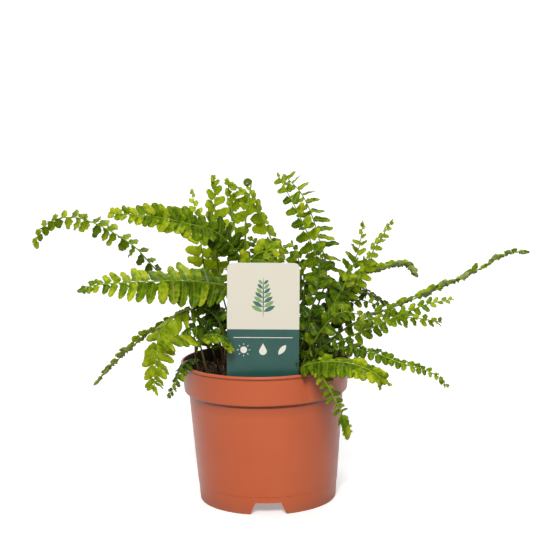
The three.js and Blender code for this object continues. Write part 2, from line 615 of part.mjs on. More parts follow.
// A frond's whole mesh: its midrib from foot to tip, with the leaflets that found room.
function frondGeometry(plan) {
  const mesh = new FrondMesh();
  const { stations, end } = plan;
  const rows = stations.map(({ at, side, up, width }) => {
    const edge = (sign) => mesh.corner(at.clone().addScaledVector(side, (sign * width) / 2), up, width);
    return { left: edge(-1), right: edge(1) };
  });
  const base = rows[0];
  mesh.wall(base.left, base.right);
  for (let i = 0; i + 1 < rows.length; i += 1) {
    const [a, b] = [rows[i], rows[i + 1]];
    mesh.skin(a.left, a.right, b.right);
    mesh.skin(a.left, b.right, b.left);
    for (const side of [1, -1]) {
      const name = side > 0 ? "right" : "left";
      const leaf = plan.leaves.get(`${i} ${side}`);
      const inner = leaf
        ? leaf.outline.slice(1, 4).map((point) => mesh.corner(point, leaf.normal, BLADE))
        : [];
      const ring = [a[name], ...inner, b[name]];
      if (side < 0) ring.reverse();
      for (let k = 0; k + 1 < ring.length; k += 1) mesh.wall(ring[k], ring[k + 1]);
      if (leaf) {
        for (const [p, q, r] of LEAF_TRIANGLES) {
          if (side > 0) mesh.skin(ring[p], ring[q], ring[r]);
          else mesh.skin(ring[4 - r], ring[4 - q], ring[4 - p]);
        }
      }
    }
  }
  const last = rows[rows.length - 1];
  const tip = mesh.corner(end, stations[stations.length - 1].up, BLADE);
  mesh.skin(last.left, last.right, tip);
  mesh.wall(last.right, tip);
  mesh.wall(tip, last.left);
  return mesh.geometry();
}

const potBody = potSolid();
const label = labelSolid(0);
const plans = [...FRONDS, ...ARCHES.map(arched)].map((frond) => ({ frond, ...stationsOf(frond) }));
const holes = plans.map(({ frond }) =>
  toSolid(
    new THREE.CylinderGeometry(HOLE_RADIUS, HOLE_RADIUS, STEM_BURIED + HOLE_ABOVE, HOLE_SIDES)
      .rotateX(Math.PI / 2)
      .translate(frond.root[0], frond.root[1], SOIL_TOP + (HOLE_ABOVE - STEM_BURIED) / 2 - GAP),
  ),
);
const soil = soilSolid([...holes, labelSolid(GAP)]);

const standing = new Standing();
const outers = new Standing();
standing.add("pot", potBody);
standing.add("label", label);
standing.add("soil", soil);
for (const { frond, stations, end } of plans) {
  const joints = [...stations.slice(1).map((station) => station.at), end];
  joints.forEach((to, i) => {
    if (i === 0) return;
    const from = joints[i - 1];
    const station = stations[i];
    const outline = [from, from, to, to].map((point, k) =>
      point.clone().addScaledVector(station.side, (k === 0 || k === 3 ? -1 : 1) * (station.width / 2)),
    );
    outline.splice(2, 0, outline[1].clone().lerp(outline[2], 0.5));
    standing.add(frond.name, slab(outline, station.up, station.width, 0));
    outers.add(frond.name, slab(outline, station.up, station.width, 0));
  });
}
for (const plan of plans) {
  const { frond, stations, leafy } = plan;
  const draw = seeded(LEAF_SEED + frond.pairs);
  plan.leaves = new Map();
  for (let i = STEM_STEPS + 1; i + 1 < leafy; i += 1) {
    const u = (i - STEM_STEPS - 1) / frond.pairs;
    for (const side of [1, -1]) {
      const jitter = draw();
      for (const pose of POSES) {
        const leaf = leaflet(frond, stations[i], stations[i + 1], side, u, jitter, pose);
        const room = slab(leaf.outline, leaf.normal, BLADE, CLEARANCE);
        const outer = outerSlab(leaf, OWN_CLEARANCE);
        const free = !standing.blocks(frond.name, room, false) && !outers.blocks(frond.name, outer, true);
        room.delete();
        if (free) {
          standing.add(frond.name, slab(leaf.outline, leaf.normal, BLADE, 0));
          outers.add(frond.name, outer);
          plan.leaves.set(`${i} ${side}`, leaf);
          break;
        }
      }
    }
  }
}

const plant = new THREE.Group();

// Adds a named part to the plant.
function addPart(name, geometry, material) {
  const mesh = new THREE.Mesh(geometry, material);
  mesh.name = name;
  plant.add(mesh);
}

addPart("pot", toGeometry(potBody), finish(0xb85a3a, 0.42));
addPart("soil", toGeometry(soil), finish(0x2a1c14, 0.95));
addPart("label", toGeometry(label), finish(0xe6dfcf, 0.5));
for (const plan of plans) {
  addPart(plan.frond.name, frondGeometry(plan), finish(COLOURS[plan.frond.colour], 0.5));
}

export default plant;
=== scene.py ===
"""A Boston fern in a notched plastic nursery pot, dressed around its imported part.

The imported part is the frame: the pot, its soil, the plant label and every frond stand where the
part has them. Each is replaced here by a finer piece of the same form: thin leaflets with
crenate margins and veins, scaly stems, crumbly soil, a rounded pot and a printed card.
"""

import logging
import math
from collections.abc import Sequence
from dataclasses import dataclass, field
from enum import Enum

import bpy
import numpy as np
from mathutils import Euler, Matrix, Vector, noise


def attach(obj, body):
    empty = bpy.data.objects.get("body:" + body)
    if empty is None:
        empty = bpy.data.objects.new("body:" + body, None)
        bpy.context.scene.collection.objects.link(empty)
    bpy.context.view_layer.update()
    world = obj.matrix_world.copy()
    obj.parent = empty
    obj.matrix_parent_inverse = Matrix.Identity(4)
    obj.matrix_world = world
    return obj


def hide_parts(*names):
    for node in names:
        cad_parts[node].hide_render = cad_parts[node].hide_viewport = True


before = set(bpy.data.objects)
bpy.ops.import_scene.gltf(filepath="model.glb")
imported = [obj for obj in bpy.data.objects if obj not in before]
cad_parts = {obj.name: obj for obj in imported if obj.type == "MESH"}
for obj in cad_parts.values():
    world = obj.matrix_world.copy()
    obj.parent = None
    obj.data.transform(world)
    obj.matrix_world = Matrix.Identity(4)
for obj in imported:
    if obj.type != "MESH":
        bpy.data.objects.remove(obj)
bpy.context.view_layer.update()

LOG = logging.getLogger("fern")
MM = 0.001
Pair = tuple[float, float]
Point = tuple[float, float, float]
Colour = tuple[float, float, float]
Outline = list[Pair]


def unit(vectors: np.ndarray) -> np.ndarray:
    """Vectors brought to a length of 1."""
    return vectors / np.linalg.norm(vectors, axis=-1, keepdims=True)


def turned(towards: np.ndarray, along: np.ndarray) -> np.ndarray:
    """Unit directions square to along, each as near to towards as it can be."""
    return unit(towards - along * np.sum(towards * along, axis=-1, keepdims=True))


def swung(first: np.ndarray, second: np.ndarray, angle: np.ndarray) -> tuple[np.ndarray, np.ndarray]:
    """Two square directions after the first has swung towards the second, by an angle in radians."""
    cos, sin = np.cos(angle)[..., None], np.sin(angle)[..., None]
    return first * cos + second * sin, second * cos - first * sin


def tube_corners(
    at: np.ndarray, up: np.ndarray, right: np.ndarray, angle: np.ndarray, radius: np.ndarray
) -> np.ndarray:
    """Corners on rings round a line, ring after ring, at angles from right towards up."""
    ring = right[:, None, :] * np.cos(angle)[None, :, None] + up[:, None, :] * np.sin(angle)[None, :, None]
    return (at[:, None, :] + ring * radius[..., None]).reshape(-1, 3)


def tube_faces(rows: int, sides: int) -> list[list[int]]:
    """The faces of a tube with both ends closed.

    Args:
        rows: How many rings of corners it has.
        sides: How many corners a ring has.

    Returns:
        The faces.
    """
    grid = np.arange(rows * sides).reshape(rows, sides)
    beside = np.roll(grid, -1, axis=1)
    wall = np.stack([grid[:-1], grid[1:], beside[1:], beside[:-1]], axis=-1).reshape(-1, 4)
    return [*wall.tolist(), grid[0].tolist(), grid[-1][::-1].tolist()]


def smooth(edge: float, end: float, value: np.ndarray) -> np.ndarray:
    """A smooth step of values, 0 before edge and 1 after end."""
    share = np.clip((value - edge) / (end - edge), 0.0, 1.0)
    return share * share * (3.0 - 2.0 * share)


class Socket:
    """A node's output that takes part in sums; each sum adds its Math node."""

    def __init__(self, tree: bpy.types.NodeTree, link: bpy.types.NodeSocket) -> None:
        """Keeps the tree that new nodes go into and the output that this stands for."""
        self.tree = tree
        self.link = link

    def _math(self, operation: str, first: "Value", second: "Value" = 0.0) -> "Socket":
        """Adds a Math node.

        Args:
            operation: The Math node's operation.
            first: Its first value or link.
            second: Its second value or link.

        Returns:
            The node's result.
        """
        node = self.tree.nodes.new("ShaderNodeMath")
        node.operation = operation
        for slot, value in zip(node.inputs, (first, second)):
            connect(self.tree, slot, value)
        return Socket(self.tree, node.outputs[0])

    def __add__(self, other: "Value") -> "Socket":
        """Sum."""
        return self._math("ADD", self, other)

    def __sub__(self, other: "Value") -> "Socket":
        """Difference."""
        return self._math("SUBTRACT", self, other)

    def __rsub__(self, other: "Value") -> "Socket":
        """Difference, the other way round."""
        return self._math("SUBTRACT", other, self)

    def __mul__(self, other: "Value") -> "Socket":
        """Product."""
        return self._math("MULTIPLY", self, other)

    def __truediv__(self, other: "Value") -> "Socket":
        """Quotient."""
        return self._math("DIVIDE", self, other)

    def __abs__(self) -> "Socket":
        """Absolute value."""
        return self._math("ABSOLUTE", self)

    def wave(self) -> "Socket":
        """The distance from the nearest whole number, 0 to 0.5."""
        return self._math("PINGPONG", self, 0.5)

    __radd__ = __add__
    __rmul__ = __mul__


Value = Socket | float | tuple


def connect(tree: bpy.types.NodeTree, slot: bpy.types.NodeSocket, value: Value) -> None:
    """Sets an input to a value or links it.

    Args:
        tree: The tree that holds the input.
        slot: The input.
        value: A number, a colour, a vector or a socket.
    """
    if isinstance(value, Socket):
        tree.links.new(value.link, slot)
    elif isinstance(value, tuple) and len(value) == 3 and slot.type == "RGBA":
        slot.default_value = (*value, 1.0)
    else:
        slot.default_value = value


class Shader:
    """A material's node tree and the few ways in which nodes are added to it."""

    MIX_SHARE, MIX_FIRST, MIX_SECOND, MIX_COLOUR = 0, 6, 7, 2

    def __init__(self, name: str) -> None:
        """Makes an empty node material.

        Args:
            name: The material's name.
        """
        self.material = bpy.data.materials.new(name)
        self.material.use_nodes = True
        self.tree = self.material.node_tree
        self.tree.nodes.clear()

    def node(
        self,
        kind: str,
        settings: dict[str, object] | None = None,
        inputs: dict[int | str, Value] | None = None,
        output: int | str = 0,
    ) -> Socket:
        """Adds any node.

        Args:
            kind: The node's type.
            settings: Its properties, set first; stops sets a colour ramp's.
            inputs: Values or links for its sockets.
            output: Which output to give back.

        Returns:
            That output.
        """
        made = self.tree.nodes.new(kind)
        for key, value in (settings or {}).items():
            if key == "stops":
                ramp = made.color_ramp.elements
                while len(ramp) < len(value):
                    ramp.new(1.0)
                for stop, (place, colour) in zip(ramp, value):
                    stop.position = place
                    stop.color = (*colour, 1.0)
            else:
                setattr(made, key, value)
        for key, value in (inputs or {}).items():
            connect(self.tree, made.inputs[key], value)
        return Socket(self.tree, made.outputs[output])

    def mix(self, share: Value, first: Value, second: Value) -> Socket:
        """Mixes two colours.

        Args:
            share: How much of the second.
            first: The first colour.
            second: The second colour.

        Returns:
            The mixed colour.
        """
        settings = {"data_type": "RGBA", "clamp_factor": True}
        inputs = {self.MIX_SHARE: share, self.MIX_FIRST: first, self.MIX_SECOND: second}
        return self.node("ShaderNodeMix", settings, inputs, self.MIX_COLOUR)

    def step(self, value: Value, start: float, end: float) -> Socket:
        """A smooth step of a value, 0 at start and 1 at end."""
        inputs = {"Value": value, "From Min": start, "From Max": end}
        return self.node("ShaderNodeMapRange", {"interpolation_type": "SMOOTHSTEP"}, inputs)

    def band(self, value: Value, rise: Pair, fall: Pair) -> Socket:
        """A smooth band, 1 between a rise and a fall and 0 outside."""
        return self.step(value, *rise) * (1.0 - self.step(value, *fall))

    def noise(self, scale: float, detail: float, where: Socket | None = None) -> Socket:
        """Noise about 0.5 in so many waves to a metre and octaves, over the object or other places."""
        inputs = {"Vector": where or self.place(), "Scale": scale, "Detail": detail}
        return self.node("ShaderNodeTexNoise", None, inputs)

    def place(self) -> Socket:
        """The point's place in the part's own frame."""
        return self.node("ShaderNodeTexCoord", output="Object")

    def parts(self, vector: Socket) -> tuple[Socket, Socket, Socket]:
        """A vector's three components."""
        outputs = self.node("ShaderNodeSeparateXYZ", None, {0: vector}).link.node.outputs
        return tuple(Socket(self.tree, outputs[axis]) for axis in range(3))

    def attribute(self, name: str) -> Socket:
        """A vector kept on the mesh under a name."""
        return self.node("ShaderNodeAttribute", {"attribute_name": name}, output="Vector")

    def bump(self, height: Socket, distance: float) -> Socket:
        """A normal bumped by a pattern, of which 1 stands so many metres high."""
        return self.node("ShaderNodeBump", None, {"Height": height, "Distance": distance, "Strength": 1.0})

    def principled(self, inputs: dict[int | str, Value]) -> Socket:
        """A Principled shader with these sockets."""
        return self.node("ShaderNodeBsdfPrincipled", None, inputs)

    def finish(self, surface: Socket) -> bpy.types.Material:
        """Connects the surface.

        Args:
            surface: The shader that the material shows.

        Returns:
            The material.
        """
        output = self.tree.nodes.new("ShaderNodeOutputMaterial")
        self.tree.links.new(surface.link, output.inputs["Surface"])
        return self.material


@dataclass
class Draft:
    """A mesh in the making: corners, faces and what each corner carries.

    Attributes:
        corners: Blocks of corner places, in metres.
        faces: Faces that count corners over the whole draft.
        slots: A material slot for each face.
        carried: Blocks of named vectors, one for each corner.
        count: How many corners there are so far.
    """

    corners: list[np.ndarray] = field(default_factory=list)
    faces: list[tuple[int, ...]] = field(default_factory=list)
    slots: list[int] = field(default_factory=list)
    carried: dict[str, list[np.ndarray]] = field(default_factory=dict)
    count: int = 0

    def add(self, corners: np.ndarray, faces: Sequence, slot: int = 0, **carried: np.ndarray) -> None:
        """Adds a block of corners and faces.

        Args:
            corners: Corner places, in metres.
            faces: Lists of corner numbers within the block.
            slot: The material slot of its faces.
            carried: Named vectors, one for each corner or one for all.
        """
        self.corners.append(np.asarray(corners, float))
        self.faces.extend(tuple(int(c) + self.count for c in f) for f in faces)
        self.slots.extend([slot] * len(faces))
        for name, values in carried.items():
            rows = np.broadcast_to(np.asarray(values, float), (len(corners), 3))
            self.carried.setdefault(name, []).append(rows)
        self.count += len(corners)

    def build(
        self, name: str, materials: Sequence[bpy.types.Material], sharp: float | None = None
    ) -> bpy.types.Object:
        """Makes the object.

        Args:
            name: The piece's name.
            materials: Its materials, in the order of the slots.
            sharp: Edges sharper than this many degrees are drawn sharp; with None, none is.

        Returns:
            The object, linked to the scene.
        """
        mesh = bpy.data.meshes.new(name)
        mesh.from_pydata(np.concatenate(self.corners).tolist(), [], self.faces)
        for key, blocks in self.carried.items():
            layer = mesh.attributes.new(key, "FLOAT_VECTOR", "POINT")
            layer.data.foreach_set("vector", np.concatenate(blocks).astype(np.float32).ravel())
        for material in materials:
            mesh.materials.append(material)
        mesh.polygons.foreach_set("material_index", np.array(self.slots, np.int32))
        mesh.polygons.foreach_set("use_smooth", np.ones(len(mesh.polygons), bool))
        mesh.update()
        if sharp is not None:
            mesh.set_sharp_from_angle(angle=math.radians(sharp))
        piece = bpy.data.objects.new(name, mesh)
        bpy.context.scene.collection.objects.link(piece)
        return piece


def seat(piece: bpy.types.Object, slot: str, *nodes: str) -> None:
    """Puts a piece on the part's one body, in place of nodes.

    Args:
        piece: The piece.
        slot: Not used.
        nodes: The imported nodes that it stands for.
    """
    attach(piece, "root")
    if nodes:
        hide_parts(*nodes)


class Tone(Enum):
    """How old a frond is, which sets its green."""

    YOUNG = "leaf_young"
    BRIGHT = "leaf_bright"
    MATURE = "leaf_mature"
    DARK = "leaf_dark"


@dataclass(frozen=True)
class LeafFinish:
    """A leaflet's blade: green above, paler below, light through it where it is thin.

    Attributes:
        deep: Its colour in the darkest patches.
        middle: Its colour between them and the lightest.
        fresh: Its colour in the lightest.
        glow: The colour of light that comes through it.
        through: The share of light that it lets through.
        browned: What the patches of an ageing leaflet turn to.
        underside: What pales its lower face.
        roughness: How matt its upper face is.
        gloss: How strongly it reflects.
        patches: Patches of lighter green to a metre.
        vein_pitch: Millimetres from one side vein to the next.
        vein_slope: How far a side vein runs ahead for each millimetre across.
        vein_height: How far the veins stand, in metres.
        rib: Where the midrib's edge begins and ends, in millimetres.
        own_tone: How much a leaflet's own tone lightens it.
        order_tone: How much its place towards the frond's tip, less its frond's painted shade, does.
        patch_tone: How much its lighter patches do.
        tip_tone: How much the way to its tip does.
        margin_tone: How much the way to its margin does.
        dim: How much is taken off all of it.
        veined: How strongly the side veins show.
        ribbed: How strongly the midrib shows.
        aged: How brown an ageing leaflet's patches are.
    """

    deep: Colour
    middle: Colour
    fresh: Colour
    glow: Colour
    through: float
    browned: Colour = (0.36, 0.27, 0.05)
    underside: Colour = (0.47, 0.55, 0.27)
    roughness: float = 0.30
    gloss: float = 0.09
    patches: float = 240.0
    vein_pitch: float = 1.6
    vein_slope: float = 0.75
    vein_height: float = 0.00016
    rib: Pair = (0.12, 0.42)
    own_tone: float = 0.66
    order_tone: float = 0.62
    patch_tone: float = 1.5
    tip_tone: float = 0.34
    margin_tone: float = 0.14
    dim: float = 0.33
    veined: float = 0.36
    ribbed: float = 0.30
    aged: float = 0.35

    def material(self, name: str) -> bpy.types.Material:
        """Builds the material.

        Args:
            name: The material's name.

        Returns:
            The material. It reads two vectors on the mesh: blade, the place on the leaflet as
            millimetres along and across and a flag for its underside, and growth, the leaflet's
            own tone, its place on the frond's leafy part less its frond's painted shade, and a
            second random number.
        """
        shader = Shader(name)
        along, across, under = shader.parts(shader.attribute("blade"))
        own, order, chance = shader.parts(shader.attribute("growth"))
        out = abs(across)
        patches = shader.noise(self.patches, 4.0)
        edge = shader.step(along, 1.0, 13.0) * self.tip_tone + shader.step(out, 0.4, 3.6) * self.margin_tone
        # The across term is painted shade: each leaflet is darker towards its edge on the frond's tip side,
        # as if the next leaflet shaded it, and lighter towards the other edge.
        light = own * self.own_tone + order * self.order_tone + edge + across * -0.065
        light = light + (patches - 0.5) * self.patch_tone - self.dim
        colour = shader.mix(light * 2.0, self.deep, self.middle)
        colour = shader.mix(light * 2.0 - 1.0, colour, self.fresh)
        vein = ((along - out * self.vein_slope) / self.vein_pitch).wave() * 2.0
        rib = 1.0 - shader.step(out, *self.rib)
        side_vein = (1.0 - shader.step(vein, 0.05, 0.32)) * shader.step(out, 0.1, 0.6)
        colour = shader.mix(side_vein * self.veined, colour, self.fresh)
        colour = shader.mix(rib * self.ribbed, colour, self.fresh)
        blush = shader.step(chance, 0.9, 1.0) * shader.step(patches, 0.5, 0.62)
        colour = shader.mix(blush * self.aged, colour, self.browned)
        colour = shader.mix(under, colour, shader.mix(0.6, colour, self.underside))
        normal = shader.bump(side_vein * 0.7 + patches * 0.35, self.vein_height)
        blade = shader.principled(
            {
                "Base Color": colour,
                "Roughness": self.roughness + (patches - 0.5) * 0.2 + under * 0.18,
                "IOR": 1.42,
                "Specular IOR Level": self.gloss,
                "Normal": normal,
            }
        )
        glow = shader.node("ShaderNodeBsdfTranslucent", None, {"Color": self.glow})
        share = self.through * (0.65 + own * 0.5 + order * 0.35) - rib * 0.2
        return shader.finish(shader.node("ShaderNodeMixShader", None, {0: share, 1: blade, 2: glow}))


@dataclass(frozen=True)
class StemFinish:
    """A frond's stem: brown and scaly at its foot, green towards its tip."""

    foot: Colour = (0.070, 0.036, 0.012)
    middle: Colour = (0.070, 0.115, 0.008)
    tip: Colour = (0.23, 0.33, 0.016)
    roughness: float = 0.55

    def material(self, name: str) -> bpy.types.Material:
        """Builds the material, which reads how far along the frond it is from growth.

        Args:
            name: The material's name.

        Returns:
            The material.
        """
        shader = Shader(name)
        _own, reach, _chance = shader.parts(shader.attribute("growth"))
        flecks = shader.noise(900.0, 2.0)
        stops = [(0.0, self.foot), (0.28, self.middle), (0.75, self.tip)]
        colour = shader.node("ShaderNodeValToRGB", {"stops": stops}, {"Fac": reach})
        colour = shader.mix(shader.step(flecks, 0.52, 0.66) * (1.0 - reach) * 0.7, colour, self.foot)
        surface = {
            "Base Color": colour,
            "Roughness": self.roughness,
            "Specular IOR Level": 0.12,
            "Normal": shader.bump(flecks, 0.0001),
        }
        return shader.finish(shader.principled(surface))


@dataclass(frozen=True)
class ScaleFinish:
    """The papery brown scales and hairs on the stems."""

    colour: Colour = (0.26, 0.15, 0.06)
    pale: Colour = (0.45, 0.31, 0.16)
    roughness: float = 0.7

    def material(self, name: str) -> bpy.types.Material:
        """Builds the material.

        Args:
            name: The material's name.

        Returns:
            The material.
        """
        shader = Shader(name)
        mottle = shader.noise(1200.0, 1.0)
        colour = shader.mix(mottle, self.colour, self.pale)
        return shader.finish(shader.principled({"Base Color": colour, "Roughness": self.roughness}))


@dataclass(frozen=True)
class PotFinish:
    """Injection-moulded terracotta plastic, satin, with faint clouds, flow marks and specks, and with painted
    shade in the creases under the collar and the lip and a painted shadow below the collar.

    Attributes:
        colour: The plastic's.
        pale: Its colour in clouds and specks.
        dust: What lies about the foot.
        painted_shade: The dark colour of the painted shade in the creases and of the painted shadow below the
            collar.
        inside_shade_and_stain: The near-black of the inside: painted shade over the whole inner wall, with a
            wet-soil stain that deepens it below the stain's edge.
        roughness: How matt it is.
        dusty: The height to which the dust reaches, in metres.
        crease: Where the painted shade in the crease under the collar begins and ends, in metres up.
        lip: The same for the painted shade in the crease under the lip.
        collar_shadow: The same for the painted shadow that the collar throws on the body below it.
        crusted: The height of the stain's upper edge, in metres.
    """

    colour: Colour = (0.570, 0.110, 0.036)
    pale: Colour = (0.64, 0.18, 0.076)
    dust: Colour = (0.20, 0.115, 0.075)
    painted_shade: Colour = (0.10, 0.020, 0.010)
    inside_shade_and_stain: Colour = (0.014, 0.007, 0.005)
    roughness: float = 0.38
    dusty: float = 0.012
    crease: tuple[Pair, Pair] = ((0.0758, 0.0768), (0.0780, 0.0786))
    lip: tuple[Pair, Pair] = ((0.0958, 0.0964), (0.0971, 0.0975))
    collar_shadow: tuple[Pair, Pair] = ((0.067, 0.0765), (0.0765, 0.0780))
    crusted: float = 0.097

    def material(self, name: str, inner_wall: bool) -> bpy.types.Material:
        """Builds the material.

        Args:
            name: The material's name.
            inner_wall: Whether it is the inside, which is painted almost black: painted shade all over it and
                a wet-soil stain below the stain's edge.

        Returns:
            The material.
        """
        shader = Shader(name)
        _x, _y, height = shader.parts(shader.place())
        grain = shader.noise(2600.0, 2.0)
        clouds = shader.noise(26.0, 3.0)
        flattened = {"Vector": shader.place(), "Scale": (1.0, 1.0, 14.0)}
        flow = shader.noise(38.0, 2.0, shader.node("ShaderNodeMapping", {"vector_type": "POINT"}, flattened))
        colour = shader.mix((clouds - 0.35) * 0.55, self.colour, self.pale)
        specks = shader.step(shader.noise(700.0, 1.0), 0.70, 0.76)
        colour = shader.mix(specks * 0.35, colour, self.pale)
        foot = 1.0 - shader.step(height, 0.0, self.dusty)
        colour = shader.mix(foot * 0.25, colour, self.dust)
        # Painted shade: dark lines in the creases under the collar and the lip, and a fainter painted shadow
        # of the collar on the body below it.
        crease, lip, collar_shadow = (shader.band(height, *edges) for edges in (self.crease, self.lip, self.collar_shadow))
        colour = shader.mix(crease * 0.7 + lip * 0.6 + collar_shadow * 0.22, colour, self.painted_shade)
        if inner_wall:
            # The inside is painted nearly black all over as painted shade. The wet-soil stain adds a little
            # more darkening, most of it below the stain's edge.
            crust = shader.step(shader.noise(160.0, 4.0) + (self.crusted - height) * 34.0, 0.35, 0.75)
            colour = shader.mix(crust * 0.12 + 0.88, colour, self.inside_shade_and_stain)
        surface = {
            "Base Color": colour,
            "Roughness": self.roughness + (flow - 0.5) * 0.16 + foot * 0.1 + (0.25 if inner_wall else 0.0),
            "IOR": 1.49,
            "Specular IOR Level": 0.36,
            "Normal": shader.bump(grain * 0.6 + flow * 1.5, 0.00004),
        }
        return shader.finish(shader.principled(surface))


@dataclass(frozen=True)
class SoilFinish:
    """Damp peaty potting soil, and the chips of bark in it."""

    wet: Colour = (0.009, 0.005, 0.0035)
    dry: Colour = (0.075, 0.036, 0.018)
    bark: Colour = (0.21, 0.105, 0.05)
    roughness: float = 0.9
    gloss: float = 0.15

    def material(self, name: str, woody: bool = False) -> bpy.types.Material:
        """Builds the material.

        Args:
            name: The material's name.
            woody: Whether it is for chips of bark, which are redder and paler.

        Returns:
            The material.
        """
        shader = Shader(name)
        clods = shader.noise(420.0, 5.0)
        colour = shader.mix(shader.step(clods, 0.35, 0.7), self.wet, self.dry)
        if woody:
            colour = shader.mix(shader.noise(1500.0, 2.0), colour, self.bark)
        surface = {
            "Base Color": colour,
            "Roughness": self.roughness,
            "Specular IOR Level": self.gloss,
            "Normal": shader.bump(clods, 0.0006),
        }
        return shader.finish(shader.principled(surface))


@dataclass(frozen=True)
class CardFinish:
    """The label's printed card: cream above a straight line, teal below it, satin varnish."""

    cream: Colour = (0.715, 0.665, 0.555)
    cream_flecks: Colour = (0.67, 0.625, 0.52)
    teal: Colour = (0.003, 0.046, 0.034)
    teal_clouds: Colour = (0.032, 0.145, 0.118)
    roughness: float = 0.38
    blur: float = 0.06

    def material(self, name: str, division: float) -> bpy.types.Material:
        """Builds the material, which reads the place on the card, in millimetres, from card.

        Args:
            name: The material's name.
            division: The height of the line between the two colours, in millimetres.

        Returns:
            The material.
        """
        shader = Shader(name)
        _across, up, _face = shader.parts(shader.attribute("card"))
        fibre = shader.noise(900.0, 3.0)
        cloud = shader.noise(40.0, 2.0)
        cream = shader.mix((fibre - 0.4) * 0.3, self.cream, self.cream_flecks)
        teal = shader.mix(cloud * 0.5, self.teal, self.teal_clouds)
        colour = shader.mix(shader.step(up, division - self.blur, division + self.blur), teal, cream)
        surface = {
            "Base Color": colour,
            "Roughness": self.roughness + (fibre - 0.5) * 0.12,
            "Normal": shader.bump(fibre, 0.00002),
        }
        return shader.finish(shader.principled(surface))


@dataclass(frozen=True)
class InkFinish:
    """A printed ink."""

    colour: Colour
    roughness: float = 0.42

    def material(self, name: str) -> bpy.types.Material:
        """Builds the material.

        Args:
            name: The material's name.

        Returns:
            The material.
        """
        shader = Shader(name)
        mottle = shader.noise(1500.0, 2.0)
        worn = tuple(0.8 * part + 0.05 for part in self.colour)
        colour = shader.mix((mottle - 0.3) * 0.25, self.colour, worn)
        return shader.finish(shader.principled({"Base Color": colour, "Roughness": self.roughness}))


@dataclass(frozen=True)
class FloorFinish:
    """The pale sweep that the pot stands on.

    Attributes:
        colour: Its own colour.
        near: How brightly it glows in front and under the pot.
        far: How brightly at the backdrop.
        change: Where behind the pot the glow begins and ceases to grow, in metres.
        roughness: How matt it is.
    """

    colour: Colour = (0.86, 0.86, 0.86)
    near: float = 0.31
    far: float = 0.85
    change: Pair = (0.3, 2.4)
    roughness: float = 0.9

    def material(self, name: str) -> bpy.types.Material:
        """Builds the material, which glows more towards the backdrop.

        Args:
            name: The material's name.

        Returns:
            The material.
        """
        shader = Shader(name)
        _x, depth, _z = shader.parts(shader.place())
        surface = {
            "Base Color": self.colour,
            "Roughness": self.roughness,
            "Emission Color": shader.mix(shader.step(depth, *self.change), (self.near,) * 3, (self.far,) * 3),
            "Emission Strength": 1.0,
        }
        return shader.finish(shader.principled(surface))


def catmull(points: np.ndarray, steps: int = 32) -> np.ndarray:
    """A centripetal Catmull-Rom curve.

    Args:
        points: The points that it passes.
        steps: Samples between two of them.

    Returns:
        Its samples, from the first point to the last.
    """
    spread = np.vstack([2 * points[0] - points[1], points, 2 * points[-1] - points[-2]])
    share = np.linspace(0.0, 1.0, steps, endpoint=False)[:, None]
    runs = []
    for p0, p1, p2, p3 in zip(spread, spread[1:], spread[2:], spread[3:]):
        d0, d1, d2 = (math.sqrt(np.linalg.norm(b - a)) for a, b in ((p0, p1), (p1, p2), (p2, p3)))
        start = ((p1 - p0) / d0 - (p2 - p0) / (d0 + d1) + (p2 - p1) / d1) * d1
        end = ((p2 - p1) / d1 - (p3 - p1) / (d1 + d2) + (p3 - p2) / d2) * d1
        square = -3 * p1 + 3 * p2 - 2 * start - end
        cube = 2 * p1 - 2 * p2 + start + end
        runs.append(p1 + start * share + square * share**2 + cube * share**3)
    return np.vstack([*runs, points[-1:]])


@dataclass(frozen=True)
class Spine:
    """A midrib sampled at even steps: where it is, which way it runs and how its blade is turned."""

    at: np.ndarray
    along: np.ndarray
    up: np.ndarray
    length: float

    @classmethod
    def through(cls, points: np.ndarray, face: np.ndarray, bare: float, samples: int = 120) -> "Spine":
        """Samples a curve.

        Args:
            points: The points that it passes, in metres.
            face: Which way the blade's upper face looks.
            bare: The share of its length without leaflets, along which it doesn't twist.
            samples: How many samples.

        Returns:
            The spine.
        """
        dense = catmull(points)
        gone = np.concatenate([[0.0], np.cumsum(np.linalg.norm(np.diff(dense, axis=0), axis=1))])
        even = np.linspace(0.0, gone[-1], samples)
        at = np.stack([np.interp(even, gone, dense[:, axis]) for axis in range(3)], axis=1)
        along = unit(np.gradient(at, axis=0))
        up = turned(np.broadcast_to(face, along.shape), along)
        for row in range(int(bare * (samples - 1)), -1, -1):
            up[row] = turned(up[row + 1], along[row])
        return cls(at, along, up, float(gone[-1]))

    def where(self, shares: np.ndarray) -> tuple[np.ndarray, np.ndarray, np.ndarray, np.ndarray]:
        """Looks up places on the midrib.

        Args:
            shares: Shares of its length.

        Returns:
            The place, direction, upward and sideways directions at each.
        """
        rows = np.linspace(0.0, 1.0, len(self.at))

        def pick(values: np.ndarray) -> np.ndarray:
            """The values at the shares."""
            return np.stack([np.interp(shares, rows, values[:, axis]) for axis in range(3)], axis=1)

        along = unit(pick(self.along))
        up = turned(pick(self.up), along)
        return pick(self.at), along, up, np.cross(along, up)


